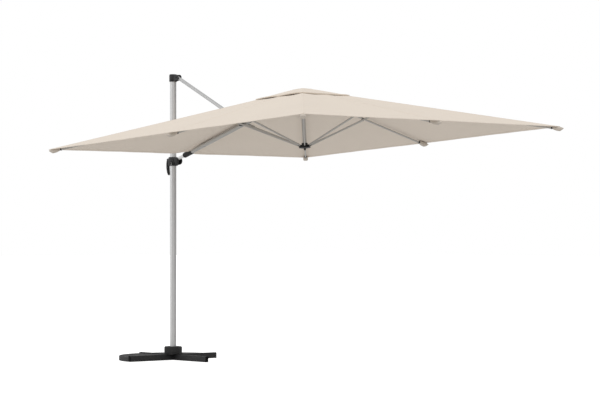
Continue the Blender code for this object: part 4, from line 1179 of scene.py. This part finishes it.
# ---- stage --------------------------------------------------------------------------------------
def build_stage():
    scene = bpy.context.scene
    lens = bpy.data.cameras.new("camera")
    lens.lens = 136.57
    lens.sensor_width = 36.0
    lens.shift_y = 0.0482
    lens.clip_end = 200.0
    camera = bpy.data.objects.new("camera", lens)
    camera.location = (15.050, -13.299, 1.1536)
    camera.rotation_euler = (math.radians(90), 0.0, math.radians(45.345))
    scene.collection.objects.link(camera)
    scene.camera = camera
    scene.view_settings.view_transform = "Standard"

    plane = bpy.data.meshes.new("floor")
    reach = 60.0
    plane.from_pydata([(-reach, -reach, -0.0005), (reach, -reach, -0.0005), (reach, reach, -0.0005),
                       (-reach, reach, -0.0005)], [], [(0, 1, 2, 3)])
    floor = bpy.data.objects.new("floor", plane)
    scene.collection.objects.link(floor)
    plane.materials.append(make_floor())
    build_world(scene)
    lamp = bpy.data.lights.new("key", "AREA")
    lamp.shape = "RECTANGLE"
    lamp.size, lamp.size_y = 1.6, 4.0
    lamp.energy = 25.0
    key = bpy.data.objects.new("key", lamp)
    key.location = (-3.6, -4.6, 1.5)
    aim = Vector((0.4, 0.0, 1.3)) - Vector(key.location)
    key.rotation_euler = aim.to_track_quat("-Z", "Y").to_euler()
    scene.collection.objects.link(key)


def make_floor():
    """Pale floor: plain white to the camera, and a softer white as a light from below."""
    material = bpy.data.materials.new("pale floor")
    material.use_nodes = True
    tree = material.node_tree
    shader = tree.nodes["Principled BSDF"]
    shader.inputs["Base Color"].default_value = (0.5, 0.5, 0.5, 1.0)
    shader.inputs["Roughness"].default_value = 1.0
    shader.inputs["Specular IOR Level"].default_value = 0.0
    shader.inputs["Emission Color"].default_value = (1.0, 1.0, 1.0, 1.0)
    path = tree.nodes.new("ShaderNodeLightPath")
    seen = math_node(tree, "MULTIPLY", path.outputs["Is Camera Ray"], 0.675)
    tree.links.new(math_node(tree, "ADD", seen, 0.225), shader.inputs["Emission Strength"])
    return material


def build_world(scene):
    """White backdrop. Its light comes from above and, near the horizon, from the camera's left."""
    world = bpy.data.worlds.new("studio")
    scene.world = world
    world.use_nodes = True
    tree = world.node_tree
    background = tree.nodes["Background"]
    source = node(tree, "ShaderNodeTexCoord")
    dot = node(tree, "ShaderNodeVectorMath")
    dot.operation = "DOT_PRODUCT"
    dot.inputs[1].default_value = (0.27, -0.05, 0.64)
    tree.links.new(source.outputs["Generated"], dot.inputs[0])
    across = node(tree, "ShaderNodeVectorMath")
    across.operation = "DOT_PRODUCT"
    across.inputs[1].default_value = (-0.70, -0.71, 0.0)
    tree.links.new(source.outputs["Generated"], across.inputs[0])
    axes = node(tree, "ShaderNodeSeparateXYZ")
    tree.links.new(source.outputs["Generated"], axes.inputs[0])
    low = math_node(tree, "MAXIMUM", math_node(tree, "SUBTRACT", 1.0, math_node(
        tree, "MULTIPLY", math_node(tree, "ABSOLUTE", axes.outputs["Z"]), 2.4)), 0.0)
    wings = math_node(tree, "MULTIPLY", math_node(tree, "MULTIPLY", across.outputs["Value"], low), 0.75)
    base = math_node(tree, "ADD", math_node(tree, "ADD", dot.outputs["Value"], 0.60), wings)
    glow = math_node(tree, "MAXIMUM", base, 0.05)
    path = tree.nodes.new("ShaderNodeLightPath")
    seen = path.outputs["Is Camera Ray"]
    mixed = math_node(tree, "MAXIMUM", glow, seen)
    capped = math_node(tree, "MINIMUM", mixed, math_node(tree, "ADD", math_node(
        tree, "MULTIPLY", math_node(tree, "SUBTRACT", 1.0, seen), 9.0), 1.0))
    tree.links.new(capped, background.inputs["Strength"])
    background.inputs["Color"].default_value = (1.0, 1.0, 1.0, 1.0)


def main():
    build_stage()
    build_base()
    build_mast()
    build_housing()
    build_slider()
    build_grip()
    build_arm()
    build_knob()
    build_lever()
    build_hubs()
    for side in RIB_AZIMUTHS:
        build_rib(side)
        build_strut(side)
    build_canopy()
    build_vent()


main()
